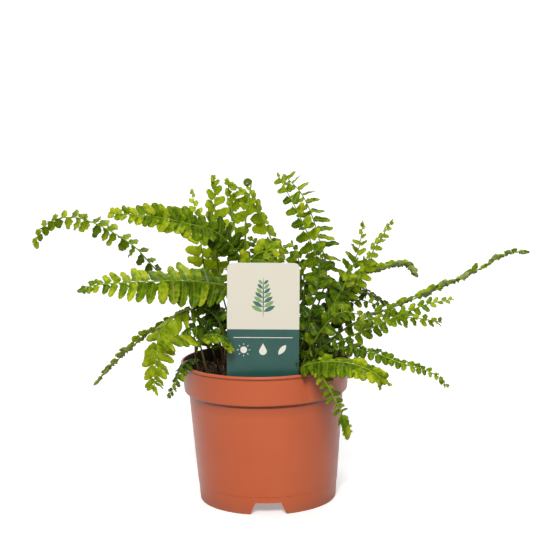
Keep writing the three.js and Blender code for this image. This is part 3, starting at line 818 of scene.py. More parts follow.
@dataclass(frozen=True)
class LeafletForm:
    """The form that all leaflets share: an oblong blade with an eared foot and a crenate margin.

    The pairs are the ends of seeded draws, by which the leaflets differ.

    Attributes:
        rows: Steps along a leaflet.
        columns: Places across it, from -1 to 1; the close pair in the middle is the midrib.
        thickness: Its thickness at the midrib, in metres.
        groove: How deep the midrib lies above, in metres.
        keel: How far it stands out below, in metres.
        foot: How wide its foot is, as a share.
        shoulder: Where the tip begins to round, as a share of the length.
        ear: How far the ear on the side towards the frond's tip stands out, as a share.
        taper: How much narrower it is at its tip than at its foot, before the tip rounds.
        crenations: How many lobes its margin has.
        crenation: How deep they are, as a share of the width.
        dip: How far a leaflet is turned down at its foot, in degrees.
        bow: How much of its row's bow it takes.
        swing: How far it is turned ahead at its foot, in degrees.
        curve: How much further ahead it points at its tip, in degrees.
        roll: How far it is rolled about its axis at its foot, in degrees.
        turn: How much further it is rolled at its tip, in degrees.
        waves: How many ripples run along it.
        fold: How far its halves are folded up, as a share of half its width.
        ripple: How high the ripples are at its margin, as the same share.
    """

    rows: int = 18
    columns: tuple[float, ...] = (-1.0, -0.56, -0.10, 0.10, 0.56, 1.0)
    thickness: float = 0.00034
    groove: float = 0.00010
    keel: float = 0.00016
    foot: float = 0.16
    shoulder: float = 0.62
    ear: float = 0.24
    taper: float = 0.36
    crenations: float = 5.0
    crenation: float = 0.16
    dip: Pair = (-7.0, 7.0)
    bow: Pair = (0.3, 1.4)
    swing: Pair = (-5.0, 5.0)
    curve: Pair = (2.0, 18.0)
    roll: Pair = (-13.0, 13.0)
    turn: Pair = (-24.0, 24.0)
    waves: Pair = (1.2, 2.6)
    fold: Pair = (-0.24, 0.22)
    ripple: float = 0.17

    def faces(self) -> np.ndarray:
        """Numbers the corners of one leaflet's faces, row by row, its upper side before its lower.

        Returns:
            The faces, seen so that the upper side is out.
        """
        rows, columns = self.rows + 1, len(self.columns)
        grid = np.arange(rows * columns).reshape(rows, columns)
        top = np.stack([grid[:-1, :-1], grid[1:, :-1], grid[1:, 1:], grid[:-1, 1:]], axis=-1).reshape(-1, 4)
        edge = np.concatenate([grid[:, 0], grid[-1, 1:], grid[-2::-1, -1], grid[0, -2:0:-1]])
        ahead = np.roll(edge, -1)
        below = rows * columns
        wall = np.stack([edge, edge + below, ahead + below, ahead], axis=-1)
        return np.concatenate([top, top[:, ::-1] + below, wall])

    def outline(self, phase: np.ndarray) -> np.ndarray:
        """Half the width at each row and column.

        Args:
            phase: Where the lobes of each leaflet's margin begin.

        Returns:
            Signed half widths as shares, one for each leaflet, row and column.
        """
        t = np.linspace(0.0, 1.0, self.rows + 1)[None, :, None]
        v = np.array(self.columns)[None, None, :]
        tip = np.clip((t - self.shoulder) / (1.0 - self.shoulder), 0.0, 1.0)
        foot = self.foot + (1.0 - self.foot) * smooth(-0.03, 0.11, t)
        body = foot * (1.0 - self.taper * t**1.2)
        rounded = np.sqrt(np.clip(1.0 - tip**2.2, 0.0, 1.0)) * 0.97 + 0.03
        lobes = np.abs(np.sin(math.pi * (self.crenations * t + phase[:, None, None])))
        margin = 1.0 + self.crenation * (lobes - 0.5) * smooth(0.05, 0.15, t)
        ear = 1.0 + self.ear * np.exp(-(((t - 0.12) / 0.09) ** 2)) * (v > 0)
        return body * rounded * margin * ear * v


@dataclass
class Leaflets:
    """A row of leaflets on one side of a frond, as arrays with one row each.

    Attributes:
        root: Where each leaves its stem, in metres.
        axis: Which way it runs.
        across: Which way its front edge lies.
        normal: Which way its upper side looks.
        length: In metres.
        half: Half its width, in metres.
        age: Its place on the leafy part, as a share, less its frond's painted shade.
    """

    root: np.ndarray
    axis: np.ndarray
    across: np.ndarray
    normal: np.ndarray
    length: np.ndarray
    half: np.ndarray
    age: np.ndarray

    def grow(
        self, draft: Draft, form: LeafletForm, chance: np.random.Generator, bow: float, loose: float
    ) -> None:
        """Adds the leaflets to a draft.

        Args:
            draft: The draft.
            form: The form that they share.
            chance: The seeded draws.
            bow: How far each bends down along its length, in degrees.
            loose: How much they differ from one another.
        """
        count = len(self.length)
        t = np.linspace(0.0, 1.0, form.rows + 1)[None, :]

        def draw(span: Pair) -> np.ndarray:
            """One random number for each leaflet."""
            return chance.uniform(*span, count)[:, None]

        dip = np.radians(draw(form.dip) * loose + draw(form.bow) * bow * t**1.4)
        sweep = np.radians(draw(form.swing) * loose + draw(form.curve) * t)
        roll = np.radians(draw(form.roll) * loose + draw(form.turn) * loose * t)
        axis, across, normal = (way[:, None, :] for way in (self.axis, self.across, self.normal))
        flat, edge = swung(axis, across, sweep)
        rise, ahead = swung(normal, flat, dip)
        edge, rise = swung(edge, rise, roll)
        step = self.length[:, None, None] / form.rows
        spine = self.root[:, None, :] + np.cumsum(ahead * step, axis=1) - ahead * step
        width = form.outline(chance.uniform(0.0, 1.0, count)) * self.half[:, None, None]
        v = np.array(form.columns)[None, None, :]
        ripple = np.sin(math.tau * (draw(form.waves) * t + draw((0.0, 1.0))))[..., None] * v**2
        fold = draw(form.fold)[..., None] * np.abs(v)
        lift = self.half[:, None, None] * (fold + form.ripple * ripple * smooth(0.02, 0.25, t)[..., None])
        middle = np.abs(v) < 0.2
        thick = form.thickness * (1.0 - 0.5 * v**2) / 2
        above = lift + thick - form.groove * middle
        below = lift - thick - form.keel * middle
        sheet = spine[:, :, None, :] + width[..., None] * edge[:, :, None, :]
        top = sheet + above[..., None] * rise[:, :, None, :]
        under = sheet + below[..., None] * rise[:, :, None, :]
        corners = np.concatenate([top.reshape(count, -1, 3), under.reshape(count, -1, 3)], axis=1)
        run = np.broadcast_to((t * self.length[:, None])[..., None], width.shape)
        side = np.stack([run / MM, width / MM], axis=-1).reshape(count, -1, 2)
        flag = np.zeros((count, side.shape[1], 1))
        blade = np.concatenate([np.dstack([side, flag]), np.dstack([side, flag + 1.0])], axis=1)
        own = np.stack([chance.uniform(0.0, 1.0, count), self.age, chance.uniform(0.0, 1.0, count)], axis=-1)
        growth = np.broadcast_to(own[:, None, :], corners.shape)
        faces = form.faces()
        whole = []
        for number in range(count):
            right = np.dot(np.cross(self.axis[number], self.across[number]), self.normal[number]) > 0
            whole.append((faces if right else faces[:, ::-1]) + number * corners.shape[1])
        carried = {"blade": blade.reshape(-1, 3), "growth": growth.reshape(-1, 3)}
        draft.add(corners.reshape(-1, 3), np.concatenate(whole), 0, **carried)


@dataclass(frozen=True)
class Frond:
    """One frond: where it leaves the soil, how its midrib runs and what leaflets it bears.

    Attributes:
        name: Its node's name, without the word frond.
        root: Where its stem leaves the soil, in millimetres.
        face: Which way its upper side looks.
        leaf: The longest leaflet, in millimetres.
        wide: That leaflet's width, in millimetres.
        pairs: How many pairs of leaflets.
        path: The points that the midrib passes, in millimetres.
        bare: The share of its length without leaflets.
        droop: How far the leaflets of each row hang, in degrees; the first row is the one on the
            right, looking along the frond with its face up.
        tone: Its green.
        coil: The radius in millimetres and the turns of a rolled tip.
        end_leaf: The length and width of a leaflet at its tip, in millimetres.
        twist: How far the leaflets of each row are turned on their own axes, in degrees.
        lean: How far the first leaflets of each row point ahead, in degrees.
        peak: Where on its leafy part the leaflets are longest, as a share.
        taper: How much shorter its last leaflets are than its longest, as a share.
        loose: How much its leaflets differ in how they are held.
        settle: The share of their droop that the last leaflets have lost.
        shade: Painted shade: how much darker its first leaflets are than its last. Below 0 it is painted
            light that makes them lighter.
        stout: How thick its stem is, next to the others.
    """

    name: str
    root: Pair
    face: Point
    leaf: float
    wide: float
    pairs: int
    path: tuple[Point, ...]
    bare: float
    droop: Pair
    tone: Tone
    coil: Pair | None = None
    end_leaf: Pair | None = None
    twist: Pair = (15.0, 15.0)
    lean: Pair = (10.0, 10.0)
    peak: float = 0.25
    taper: float = 0.70
    loose: float = 1.0
    settle: float = 0.0
    shade: float = 0.0
    stout: float = 1.0

    @property
    def node(self) -> str:
        """The node that it replaces."""
        return f"frond_{self.name}"


@dataclass(frozen=True)
class Arch:
    """A frond on the far side: it rises from its root, arches over a crest and hangs to its tip."""

    name: str
    root: Pair
    end: Pair
    crest: float
    tip: float
    leaf: float
    pairs: int
    tone: Tone

    def frond(self, soil_top: float) -> Frond:
        """The same as a frond with points on its midrib.

        Args:
            soil_top: The soil's height, in millimetres.

        Returns:
            The frond.
        """
        run = (self.end[0] - self.root[0], self.end[1] - self.root[1])
        heights = [
            (0.12, soil_top + 0.5 * (self.crest - soil_top)),
            (0.30, soil_top + 0.87 * (self.crest - soil_top)),
            (0.54, self.crest),
            (0.80, self.crest + 0.4 * (self.tip - self.crest)),
            (1.00, self.tip),
        ]
        path = tuple((self.root[0] + run[0] * s, self.root[1] + run[1] * s, z) for s, z in heights)
        reach = math.hypot(*run)
        face = (0.26 * run[0] / reach, 0.26 * run[1] / reach, 1.0)
        wide, bare, droop = 0.72 * self.leaf, 0.34, (16.0, 16.0)
        return Frond(self.name, self.root, face, self.leaf, wide, self.pairs, path, bare, droop, self.tone)


# Short names for the tables below, whose values stand in the order of the fields.
Y, B, M, D = Tone.YOUNG, Tone.BRIGHT, Tone.MATURE, Tone.DARK
FRONDS = (
    Frond("left_comb", (-14, -10), (0, -0.75, 0.66), 19.5, 9.6, 16,
          ((-16, -18, 132), (-24, -26, 154), (-40, -34, 160), (-78, -58, 165), (-114, -75, 165),
           (-119, -77, 162)), 0.36, (20, 12), B, lean=(-14, 6), taper=0.88, loose=0.6, shade=0.25),
    Frond("left_high", (-8, -3), (-0.25, -0.75, 0.62), 13.5, 9.8, 19,
          ((-10, -1, 140), (-14, -3, 168), (-31, -21, 192), (-50, -40, 201), (-73, -54, 208),
           (-99, -66, 212)), 0.40, (-12, 8), B,
          peak=0.4, taper=0.7, shade=0.75),
    Frond("left_drooping", (-27, -20), (-0.4, -0.8, 0.45), 14, 6.6, 15,
          ((-30, -24, 128), (-40, -31, 141), (-56, -38, 140), (-70, -47, 129), (-73, -53, 112),
           (-75, -56, 91)), 0.40, (62, 44), Y, peak=0.62, taper=0.62, settle=1.15),
    Frond("left_front", (-43, -29), (-0.1, -0.62, 0.8), 13, 7, 9,
          ((-47, -38, 107), (-48, -45, 123), (-54, -52, 127), (-60, -57, 127), (-70, -61, 124)),
          0.50, (62, 8), B, lean=(-44, -50), taper=0.45, loose=0.6, peak=0.5),
    Frond("left_inner", (-38, -34), (0.1, -0.62, 0.8), 11.4, 6.8, 8,
          ((-41, -42, 106), (-43, -47, 123), (-38, -52, 127), (-30, -55, 127), (-24, -57, 121.5)),
          0.50, (8, 60), B, lean=(48, 30), taper=0.3, loose=0.8),
    Frond("left_long", (-13, 6), (0.1, -0.8, 0.6), 10.6, 8.6, 16,
          ((-44, 2, 138), (-75, 6, 163), (-94, 22, 180), (-137, 50, 197), (-159, 59, 192),
           (-170, 61, 176)), 0.37, (26, 44), B, twist=(6, 6), peak=0.5, loose=0.9, taper=0.5),
    Frond("left_low", (-28, -3), (-0.5, -0.3, 0.82), 8.2, 6.2, 15,
          ((-34, -2, 117), (-44, 0, 127), (-63, 5, 126), (-82, 8, 118), (-111, 12, 93), (-123, 12, 80)),
          0.34, (-46, -40), B, lean=(46, 46), taper=0.6, loose=1.8, shade=-0.7),
    Frond("left_rim", (-39, -12), (-0.6, -0.6, 0.5), 7.4, 5.6, 9,
          ((-45, -19, 102), (-52, -27, 105), (-58, -34, 100), (-61, -38, 92), (-67, -41, 82)),
          0.3, (10, 10), M),
    Frond("fiddlehead", (-4, -9), (0.1, -1, 0.1), 6.5, 5.2, 4,
          ((-11, -12, 135), (-13, -13, 160), (-12, -13, 184), (-11, -13, 204), (-8, -13, 218),
           (-7, -13, 225)), 0.76, (15, 15), Y, coil=(2.55, 1.6), stout=1.7),
    Frond("up_left", (-12, 17), (-0.6, -0.8, 0.1), 11.8, 8.0, 10,
          ((-26, 11, 130), (-31, 7, 156), (-33, 4, 184), (-33, 2, 207), (-32.5, -3, 230)), 0.38, (16, 16), Y,
          peak=0.62, taper=0.75),
    Frond("up_middle", (-5, 12), (-0.5, -0.85, 0.1), 11.4, 8.6, 9,
          ((-14, 15, 130), (-17, 16, 158), (-19.5, 16, 189), (-22, 16, 209), (-24, 13, 226)),
          0.38, (16, 36), Y, peak=0.62, taper=0.75),
    Frond("up_outer", (-21, 12), (0.15, -1, 0.1), 14, 9.4, 11,
          ((-34, 11, 132), (-41, 13, 154), (-43, 16, 172), (-47, 20, 200), (-50, 23, 218)), 0.36, (14, 14), Y,
          taper=0.92, peak=0.2, shade=-1.8),
    Frond("up_arching", (5, 14), (0.35, -0.6, 0.7), 12, 9.6, 10,
          ((14, 18, 130), (15, 20, 156), (7, 22, 179), (-1, 20, 198), (-9, 14, 213), (-25, 3, 226)),
          0.42, (18, 18), Y, loose=1.2, shade=0.45),
    Frond("over_label", (-3, -16), (0.1, -0.85, 0.5), 13.5, 8.2, 4,
          ((-9, -17, 144), (-11, -19, 166), (-4, -23, 177), (6, -27, 180), (20, -32, 184)), 0.58, (24, 30), B,
          loose=1.3, lean=(30, 30)),
    Frond("behind_label", (7, -12), (-0.2, -0.9, 0.4), 12, 7.6, 4,
          ((16, -20, 132), (20, -25, 156), (19, -30, 169), (12, -34, 176), (1, -36, 176)), 0.56, (30, 14), B,
          loose=1.3),
    Frond("right_tall", (14, -7), (-0.35, -0.9, 0.25), 11, 8, 10,
          ((31, -10, 130), (38, -12, 154), (38, -15, 168), (32, -18, 187), (24, -21, 206),
           (11, -24, 232)), 0.36, (40, 4), B, lean=(10, -26), taper=0.6, shade=0.3),
    Frond("right_feather", (18, 7), (-0.2, -1, 0.2), 13, 5.6, 14,
          ((36, 13, 128), (45, 16, 158), (40, 17, 182), (34, 16, 202), (27, 15, 216), (16, 12, 228)),
          0.4, (4, 4), M, twist=(58, 54), lean=(-30, -12), taper=0.5),
    Frond("right_upright", (25, -1), (-0.1, -1, 0.1), 12, 6.0, 10,
          ((44, 0, 128), (53, -1, 142), (60, -3, 158), (67, -6, 178), (70, -8, 196)), 0.36, (8, 8), B,
          loose=2.3, taper=0.88, peak=0.2, shade=0.5),
    Frond("right_leaning", (24, -12), (-0.5, -0.8, 0.3), 7.4, 5.6, 14,
          ((46, -17, 130), (58, -21, 147), (67, -27, 161), (73, -34, 176), (87, -44, 201)), 0.38, (24, 24), Y,
          loose=1.8, shade=0.3),
    Frond("right_arch", (23, 17), (0, -0.3, 0.95), 8.9, 6.0, 14,
          ((42, 21, 128), (58, 24, 149), (84, 30, 157), (104, 35, 159), (109.5, 36, 152)),
          0.38, (-44, -40), B, lean=(42, 42), peak=0.55, taper=0.3, loose=1.6),
    Frond("right_long", (32, -7), (-0.35, 0, 0.93), 8.6, 5.4, 19,
          ((50, -12, 117), (70, -20, 131), (87, -30, 139), (112, -46, 152), (136, -62, 166),
           (158, -80, 182), (168, -92, 184)), 0.27, (-44, -40), B,
          lean=(54, 54), taper=0.5, loose=2.2, shade=-0.6),
    Frond("right_short", (27, 8), (0.3, -0.35, 0.88), 9, 6.6, 11,
          ((40, 8, 122), (50, 9, 138), (61, 12, 149), (74, 15, 144), (91, 18, 131)), 0.38, (30, 4), D),
    Frond("right_bright", (33, -20), (-0.3, -0.62, 0.72), 8.8, 5.8, 14,
          ((44, -27, 109), (55, -34, 119), (68, -42, 126), (84, -52, 135), (108, -64, 147),
           (124, -70, 151)), 0.24, (20, -8), B, loose=1.6),
    Frond("right_middle", (35, 9), (0, -0.5, 0.86), 9.2, 5.8, 12,
          ((47, 6, 110), (58, 3, 119), (82, 4, 127), (104, 8, 125), (126, 10, 121)), 0.24, (30, 0), B,
          loose=1.6, taper=0.45),
    Frond("right_low", (38, -14), (0.2, -0.35, 0.9), 6.2, 6.2, 19,
          ((46, -20, 105), (56, -29, 111), (74, -41, 110), (92, -54, 105), (111, -62, 100),
           (121, -66, 91)), 0.13, (42, -6), B, loose=1.4, taper=0.6, shade=0.3),
    Frond("front_bright", (28, -46), (0.1, -0.6, 0.8), 11.5, 8.6, 13,
          ((24, -53, 103), (29, -59, 107), (46, -70, 111), (62, -82, 110), (73, -89, 105),
           (77, -91, 100)), 0.12, (24, 22), B, taper=0.4, loose=1.2, peak=0.35, shade=0.35),
    Frond("front_hanging", (34, -39), (0.5, -0.8, 0.3), 7.2, 3.8, 12,
          ((32, -48, 103), (33, -59, 107), (38, -68, 100), (45, -73, 87), (51, -71, 73), (54, -69, 62)),
          0.34, (6, 6), B, end_leaf=(18, 6.5), taper=0.4, loose=1.4, shade=-0.7),
    Frond("fill_left_high", (-20, -9), (0, -0.8, 0.6), 9.5, 7.2, 8,
          ((-29, -18, 124), (-34, -24, 138), (-42, -28, 146), (-54, -32, 139)), 0.36, (18, 18), D, loose=2.0),
    Frond("fill_left_low", (-32, -13), (-0.1, -0.8, 0.6), 9, 6.8, 8,
          ((-36, -27, 112), (-38, -34, 124), (-43, -38, 131), (-56, -43, 125)), 0.38, (18, 18), D, loose=2.0),
    Frond("fill_centre", (2, 3), (0.1, -0.95, 0.3), 9.5, 6.5, 8,
          ((-2, 3, 130), (-1, 1, 156), (-3, -2, 174), (-8, -5, 187)), 0.5, (12, 12), D, loose=2.0),
    Frond("fill_right_inner", (12, 1), (0, -0.95, 0.3), 9.4, 8, 9,
          ((24, 4, 118), (28, 3, 140), (28, 1, 158), (20, -4, 183)), 0.18, (12, 12), D, loose=1.6),
    Frond("fill_right_upright", (17, -17), (0, -0.9, 0.4), 9.6, 8.0, 10,
          ((26, -28, 116), (32, -34, 138), (37, -36, 158), (39, -38, 182)), 0.16, (14, 14), D, loose=1.6),
    Frond("fill_right_middle", (27, -19), (-0.3, -0.85, 0.4), 10.2, 8.4, 9,
          ((36, -22, 119), (45, -25, 137), (54, -28, 153), (64, -31, 174)), 0.16, (14, 14), M, loose=1.6),
    Frond("fill_right_front", (22, -27), (0, -0.85, 0.5), 10, 8.2, 8,
          ((32, -36, 115), (42, -42, 131), (53, -48, 140), (72, -54, 136)), 0.12, (16, 16), M, loose=1.6),
    Frond("fill_right_low", (29, -32), (0, -0.85, 0.5), 8.5, 6.3, 8,
          ((34, -43, 109), (41, -52, 119), (50, -58, 123), (67, -64, 115)), 0.12, (16, 16), D, loose=2.0),
    Frond("fill_right_outer", (39, 0), (-0.1, -0.8, 0.6), 8.5, 6.2, 8,
          ((46, -5, 122), (55, -9, 136), (66, -13, 142), (80, -16, 138)), 0.3, (16, 16), D, loose=2.0),
)

ARCHES = (
    Arch("back_centre", (-3, 25), (-14, 95), 150, 122, 11, 11, M),
    Arch("back_right", (7, 26), (27, 92), 153, 128, 11, 11, B),
    Arch("back_left", (-13, 27), (-46, 88), 158, 134, 11, 11, B),
    Arch("back_right_wide", (17, 25), (64, 84), 146, 116, 10, 11, D),
    Arch("back_left_wide", (-23, 22), (-88, 72), 151, 138, 9, 11, D),
    Arch("back_right_side", (30, 22), (98, 66), 140, 118, 9, 11, M),
    Arch("back_low", (2, 35), (4, 93), 122, 86, 10, 10, Y),
    Arch("back_low_left", (-22, 33), (-50, 84), 125, 92, 10, 10, M),
    Arch("back_low_right", (19, 35), (48, 86), 122, 90, 10, 10, M),
)


@dataclass
class Foliage:
    """All the fronds, each a piece of its own in place of its node.

    Attributes:
        soil_top: The soil's height, in millimetres.
        buried: How far the stems go into the soil, in millimetres.
        straight: How far they rise straight out of it, in millimetres.
        thick: A stem's radius at its foot, in metres.
        fine: Its radius at the tip, in metres.
        sides: How many sides a stem has.
        groove: How deep the groove along its upper side is, as a share of its radius.
        crowding: How much closer the leaflets stand towards the tip; at 1 they are evenly spaced.
        stagger: Where the first leaflet of each row stands, as a share of a pair's place.
        shuffle: How far a leaflet is moved from its place, as the same share.
        first: How much shorter the first leaflets are than the longest, as a share.
        lengths: The ends of the draw by which their length differs.
        widths: The same for their width.
        room: Half the greatest width, as a share of the way from one leaflet to the next.
        ahead: How much further ahead than the first leaflets the last ones point, in degrees.
        unlike: How far they differ in their droop, lean and twist, in degrees.
        bow: How far they bend down along their length, in degrees.
        end_bow: The same for the one at a frond's tip.
        end_share: The length and the width of that one, as shares of the longest leaflet.
        coil_steps: How many rings of corners a turn of a rolled tip has.
        coil_close: How far it closes, as a share of its radius.
        scaly: How many scales to a millimetre of stem without leaflets.
        scale_length: The least and the greatest length of a scale, in millimetres.
        scale_width: Half the width of its foot, in millimetres.
        seed: Starts the draws of the first frond.
        form: The leaflets' form.
    """

    soil_top: float = 90.0
    buried: float = 8.0
    straight: float = 2.0
    thick: float = 0.00085
    fine: float = 0.00030
    sides: int = 9
    groove: float = 0.22
    crowding: float = 1.22
    stagger: Pair = (0.30, 0.72)
    shuffle: float = 0.12
    first: float = 0.42
    lengths: Pair = (0.93, 1.07)
    widths: Pair = (0.92, 1.05)
    room: float = 0.8
    ahead: float = 34.0
    unlike: Point = (9.0, 8.0, 12.0)
    bow: float = 9.0
    end_bow: float = 10.0
    end_share: Pair = (0.30, 0.20)
    coil_steps: int = 26
    coil_close: float = 0.86
    scaly: float = 0.9
    scale_length: Pair = (0.8, 2.2)
    scale_width: float = 0.16
    seed: int = 11
    form: LeafletForm = LeafletForm()

    FINISHES = {
        Tone.YOUNG: LeafFinish(
            (0.06, 0.13, 0.002), (0.25, 0.358, 0.006), (0.60, 0.61, 0.036), (0.62, 0.74, 0.012), 0.42
        ),
        Tone.BRIGHT: LeafFinish(
            (0.011, 0.054, 0.001), (0.098, 0.199, 0.002), (0.53, 0.565, 0.022), (0.51, 0.64, 0.006), 0.30
        ),
        Tone.MATURE: LeafFinish(
            (0.008, 0.040, 0.001), (0.064, 0.147, 0.002), (0.39, 0.44, 0.016), (0.35, 0.50, 0.005), 0.24
        ),
        Tone.DARK: LeafFinish(
            (0.003, 0.018, 0.001), (0.028, 0.081, 0.001), (0.225, 0.315, 0.009), (0.145, 0.285, 0.002), 0.16
        ),
    }
    STEM_GREENS = {Tone.YOUNG: 1.0, Tone.BRIGHT: 1.0, Tone.MATURE: 0.75, Tone.DARK: 0.4}

    def build(self) -> list[bpy.types.Object]:
        """Builds every frond.

        Returns:
            The fronds.
        """
        materials = {tone: finish.material(tone.value) for tone, finish in self.FINISHES.items()}
        stem = StemFinish().material("stem")
        scale = ScaleFinish().material("stem_scales")
        fronds = [*FRONDS, *(arch.frond(self.soil_top) for arch in ARCHES)]
        pieces = []
        for number, frond in enumerate(fronds):
            chance = np.random.default_rng(self.seed + number)
            draft = self.grow(frond, chance)
            piece = draft.build(f"fern_{frond.name}", [materials[frond.tone], stem, scale])
            seat(piece, frond.tone.value, frond.node)
            pieces.append(piece)
        return pieces

    def spine(self, frond: Frond) -> Spine:
        """A frond's midrib from the soil's surface to its tip."""
        points = np.array([(*frond.root, self.soil_top + self.straight), *frond.path], float) * MM
        return Spine.through(points, np.array(frond.face, float), frond.bare)

    def grow(self, frond: Frond, chance: np.random.Generator) -> Draft:
        """Grows one frond.

        Args:
            frond: Its plan.
            chance: Its seeded draws.

        Returns:
            Its mesh, with slots for blades, stem and scales.
        """
        draft = Draft()
        spine = self.spine(frond)
        for number in range(2):
            row = self.row(frond, spine, chance, number)
            row.grow(draft, self.form, chance, self.bow, frond.loose)
        if not frond.coil:
            self.end(frond, spine).grow(draft, self.form, chance, self.end_bow, frond.loose)
        self.stem(draft, frond, spine)
        self.scales(draft, frond, spine, chance)
        return draft

    def row(self, frond: Frond, spine: Spine, chance: np.random.Generator, number: int) -> Leaflets:
        """Places the leaflets of one side.

        Args:
            frond: The frond's plan.
            spine: Its midrib.
            chance: Its seeded draws.
            number: 0 for the row on the right, looking along the frond with its face up, 1 for the other.

        Returns:
            The leaflets.
        """
        count, side, leafy = frond.pairs, 1.0 - 2.0 * number, 1.0 - frond.bare
        order = (np.arange(count) + self.stagger[number]) / (count + 0.5)
        order = 1.0 - (1.0 - order) ** self.crowding
        order = order + chance.uniform(-self.shuffle, self.shuffle, count) / count
        reach = frond.bare + leafy * order
        at, along, up, right = spine.where(reach)
        early = np.clip(1.0 - order / frond.peak, 0.0, 1.0)
        late = np.clip((order - frond.peak) / (1.0 - frond.peak), 0.0, 1.0)
        share = 1.0 - self.first * early**1.6 - frond.taper * late**1.8
        length = frond.leaf * MM * share * chance.uniform(*self.lengths, count)
        half = np.minimum(frond.wide * MM * np.maximum(share, 0.5), 0.92 * length) / 2
        pitch = leafy * spine.length / (count + 0.5)
        half = np.minimum(half, self.room * pitch) * chance.uniform(*self.widths, count)

        def held(angle: np.ndarray | float, spread: float) -> np.ndarray:
            """An angle for each leaflet in radians, with a random part that the frond scales."""
            return np.radians(angle + frond.loose * chance.uniform(-spread, spread, count))

        droop = held(frond.droop[number] * (1.0 - frond.settle * order), self.unlike[0])
        sweep = held(frond.lean[number] + self.ahead * order**2, self.unlike[1])
        twist = held(frond.twist[number], self.unlike[2])
        normal, out = swung(up, side * right, droop)
        axis, across = swung(out, along, sweep)
        normal, across = swung(normal, across, twist)
        root = at + side * right * self.radius(reach)[:, None] * 0.5
        # The first leaflets take the frond's painted shade, or painted light where shade is below 0.
        return Leaflets(root, axis, across, normal, length, half, order - frond.shade * (1.0 - order))

    def end(self, frond: Frond, spine: Spine) -> Leaflets:
        """Places the leaflet at a frond's tip.

        Args:
            frond: The frond's plan.
            spine: Its midrib.

        Returns:
            The leaflet, as a row of one.
        """
        length, wide = frond.end_leaf or (share * frond.leaf for share in self.end_share)
        at, along, up, right = spine.where(np.array([1.0 - 0.75 * length * MM / spine.length]))
        return Leaflets(at, along, right, up, np.array([length * MM]), np.array([wide * MM / 2]), np.ones(1))

    def radius(self, share: np.ndarray) -> np.ndarray:
        """A stem's radius at shares of its length."""
        return self.thick + (self.fine - self.thick) * share**0.8

    def stem(self, draft: Draft, frond: Frond, spine: Spine) -> None:
        """Adds the stem and midrib, grooved above, with its foot in the soil and any rolled tip.

        Args:
            draft: The frond's draft.
            frond: Its plan.
            spine: Its midrib.
        """
        share = np.linspace(0.0, 1.0, len(spine.at))
        radius = self.radius(share) * frond.stout
        foot = spine.at[0] - np.array([0.0, 0.0, (self.buried + self.straight) * MM])
        at = np.vstack([foot, spine.at])
        along = np.vstack([[0.0, 0.0, 1.0], spine.along])
        up = np.vstack([turned(spine.up[0], along[0]), spine.up])
        radius = np.concatenate([[radius[0] * 1.1], radius])
        share = np.concatenate([[0.0], share])
        if frond.coil:
            rolled, tangents = self.coil(frond.coil, at[-1], along[-1], up[-1])
            swell = np.linspace(1.0, 0.0, len(rolled))
            at = np.vstack([at, rolled])
            along = np.vstack([along, tangents])
            up = np.vstack([up, np.broadcast_to(up[-1], rolled.shape)])
            radius = np.concatenate([radius, (0.72 + 0.36 * np.sin(swell * 2.6)) * MM])
            share = np.concatenate([share, np.full(len(rolled), 0.68)])
        right = np.cross(along, up)
        angle = np.linspace(0.0, math.tau, self.sides, endpoint=False)
        groove = 1.0 - self.groove * np.exp(-(((angle - math.pi / 2) / 0.5) ** 2))
        corners = tube_corners(at, up, right, angle, radius[:, None] * groove[None, :])
        leafy = (share - frond.bare) / (1.0 - frond.bare)
        green = np.where(leafy > 0.0, 0.45 + 0.55 * leafy, 0.45 * (share / frond.bare) ** 2)
        growth = np.zeros((len(corners), 3))
        growth[:, 1] = np.repeat(green * self.STEM_GREENS[frond.tone], self.sides)
        draft.add(corners, tube_faces(len(at), self.sides), 1, growth=growth, blade=(0.0, 0.0, 0.0))

    def coil(
        self, coil: Pair, start: np.ndarray, along: np.ndarray, up: np.ndarray
    ) -> tuple[np.ndarray, np.ndarray]:
        """A rolled tip.

        Args:
            coil: Its radius in millimetres and its turns.
            start: Where the straight part ends.
            along: Which way that runs.
            up: Which way it is turned.

        Returns:
            Its places and directions.
        """
        size, turns = coil
        inward = np.cross(up, along)
        centre = start + inward * size * MM
        share = np.linspace(0.0, 1.0, int(self.coil_steps * turns) + 1)[1:, None]
        angle = share * turns * math.tau
        radius = size * MM * (1.0 - self.coil_close * share)
        at = centre - inward * radius * np.cos(angle) + along * radius * np.sin(angle)
        return at, inward * np.sin(angle) + along * np.cos(angle)

    def scales(self, draft: Draft, frond: Frond, spine: Spine, chance: np.random.Generator) -> None:
        """Adds papery scales, thick at the stem's foot and fewer towards its leafy part.

        Args:
            draft: The frond's draft.
            frond: Its plan.
            spine: Its midrib.
            chance: Its seeded draws.
        """
        count = int(spine.length * frond.bare / MM * self.scaly)
        share = frond.bare * 1.15 * chance.uniform(0.0, 1.0, count) ** 1.5
        at, along, up, right = spine.where(share)
        out, across = swung(right, up, chance.uniform(0.0, math.tau, count))
        root = at + out * self.radius(share)[:, None] * 0.8
        tip = root + (out * 0.55 + along * 0.8) * chance.uniform(*self.scale_length, count)[:, None] * MM
        wide = self.scale_width * MM
        base = [root + across * wide, root - across * wide, root - along * wide * 1.4]
        corners = np.stack([*base, tip], axis=1).reshape(-1, 3)
        face = np.array([[0, 1, 3], [1, 2, 3], [2, 0, 3], [0, 2, 1]])
        faces = np.concatenate([face + 4 * number for number in range(count)])
        draft.add(corners, faces, 2, growth=(0.0, 0.0, 0.0), blade=(0.0, 0.0, 0.0))


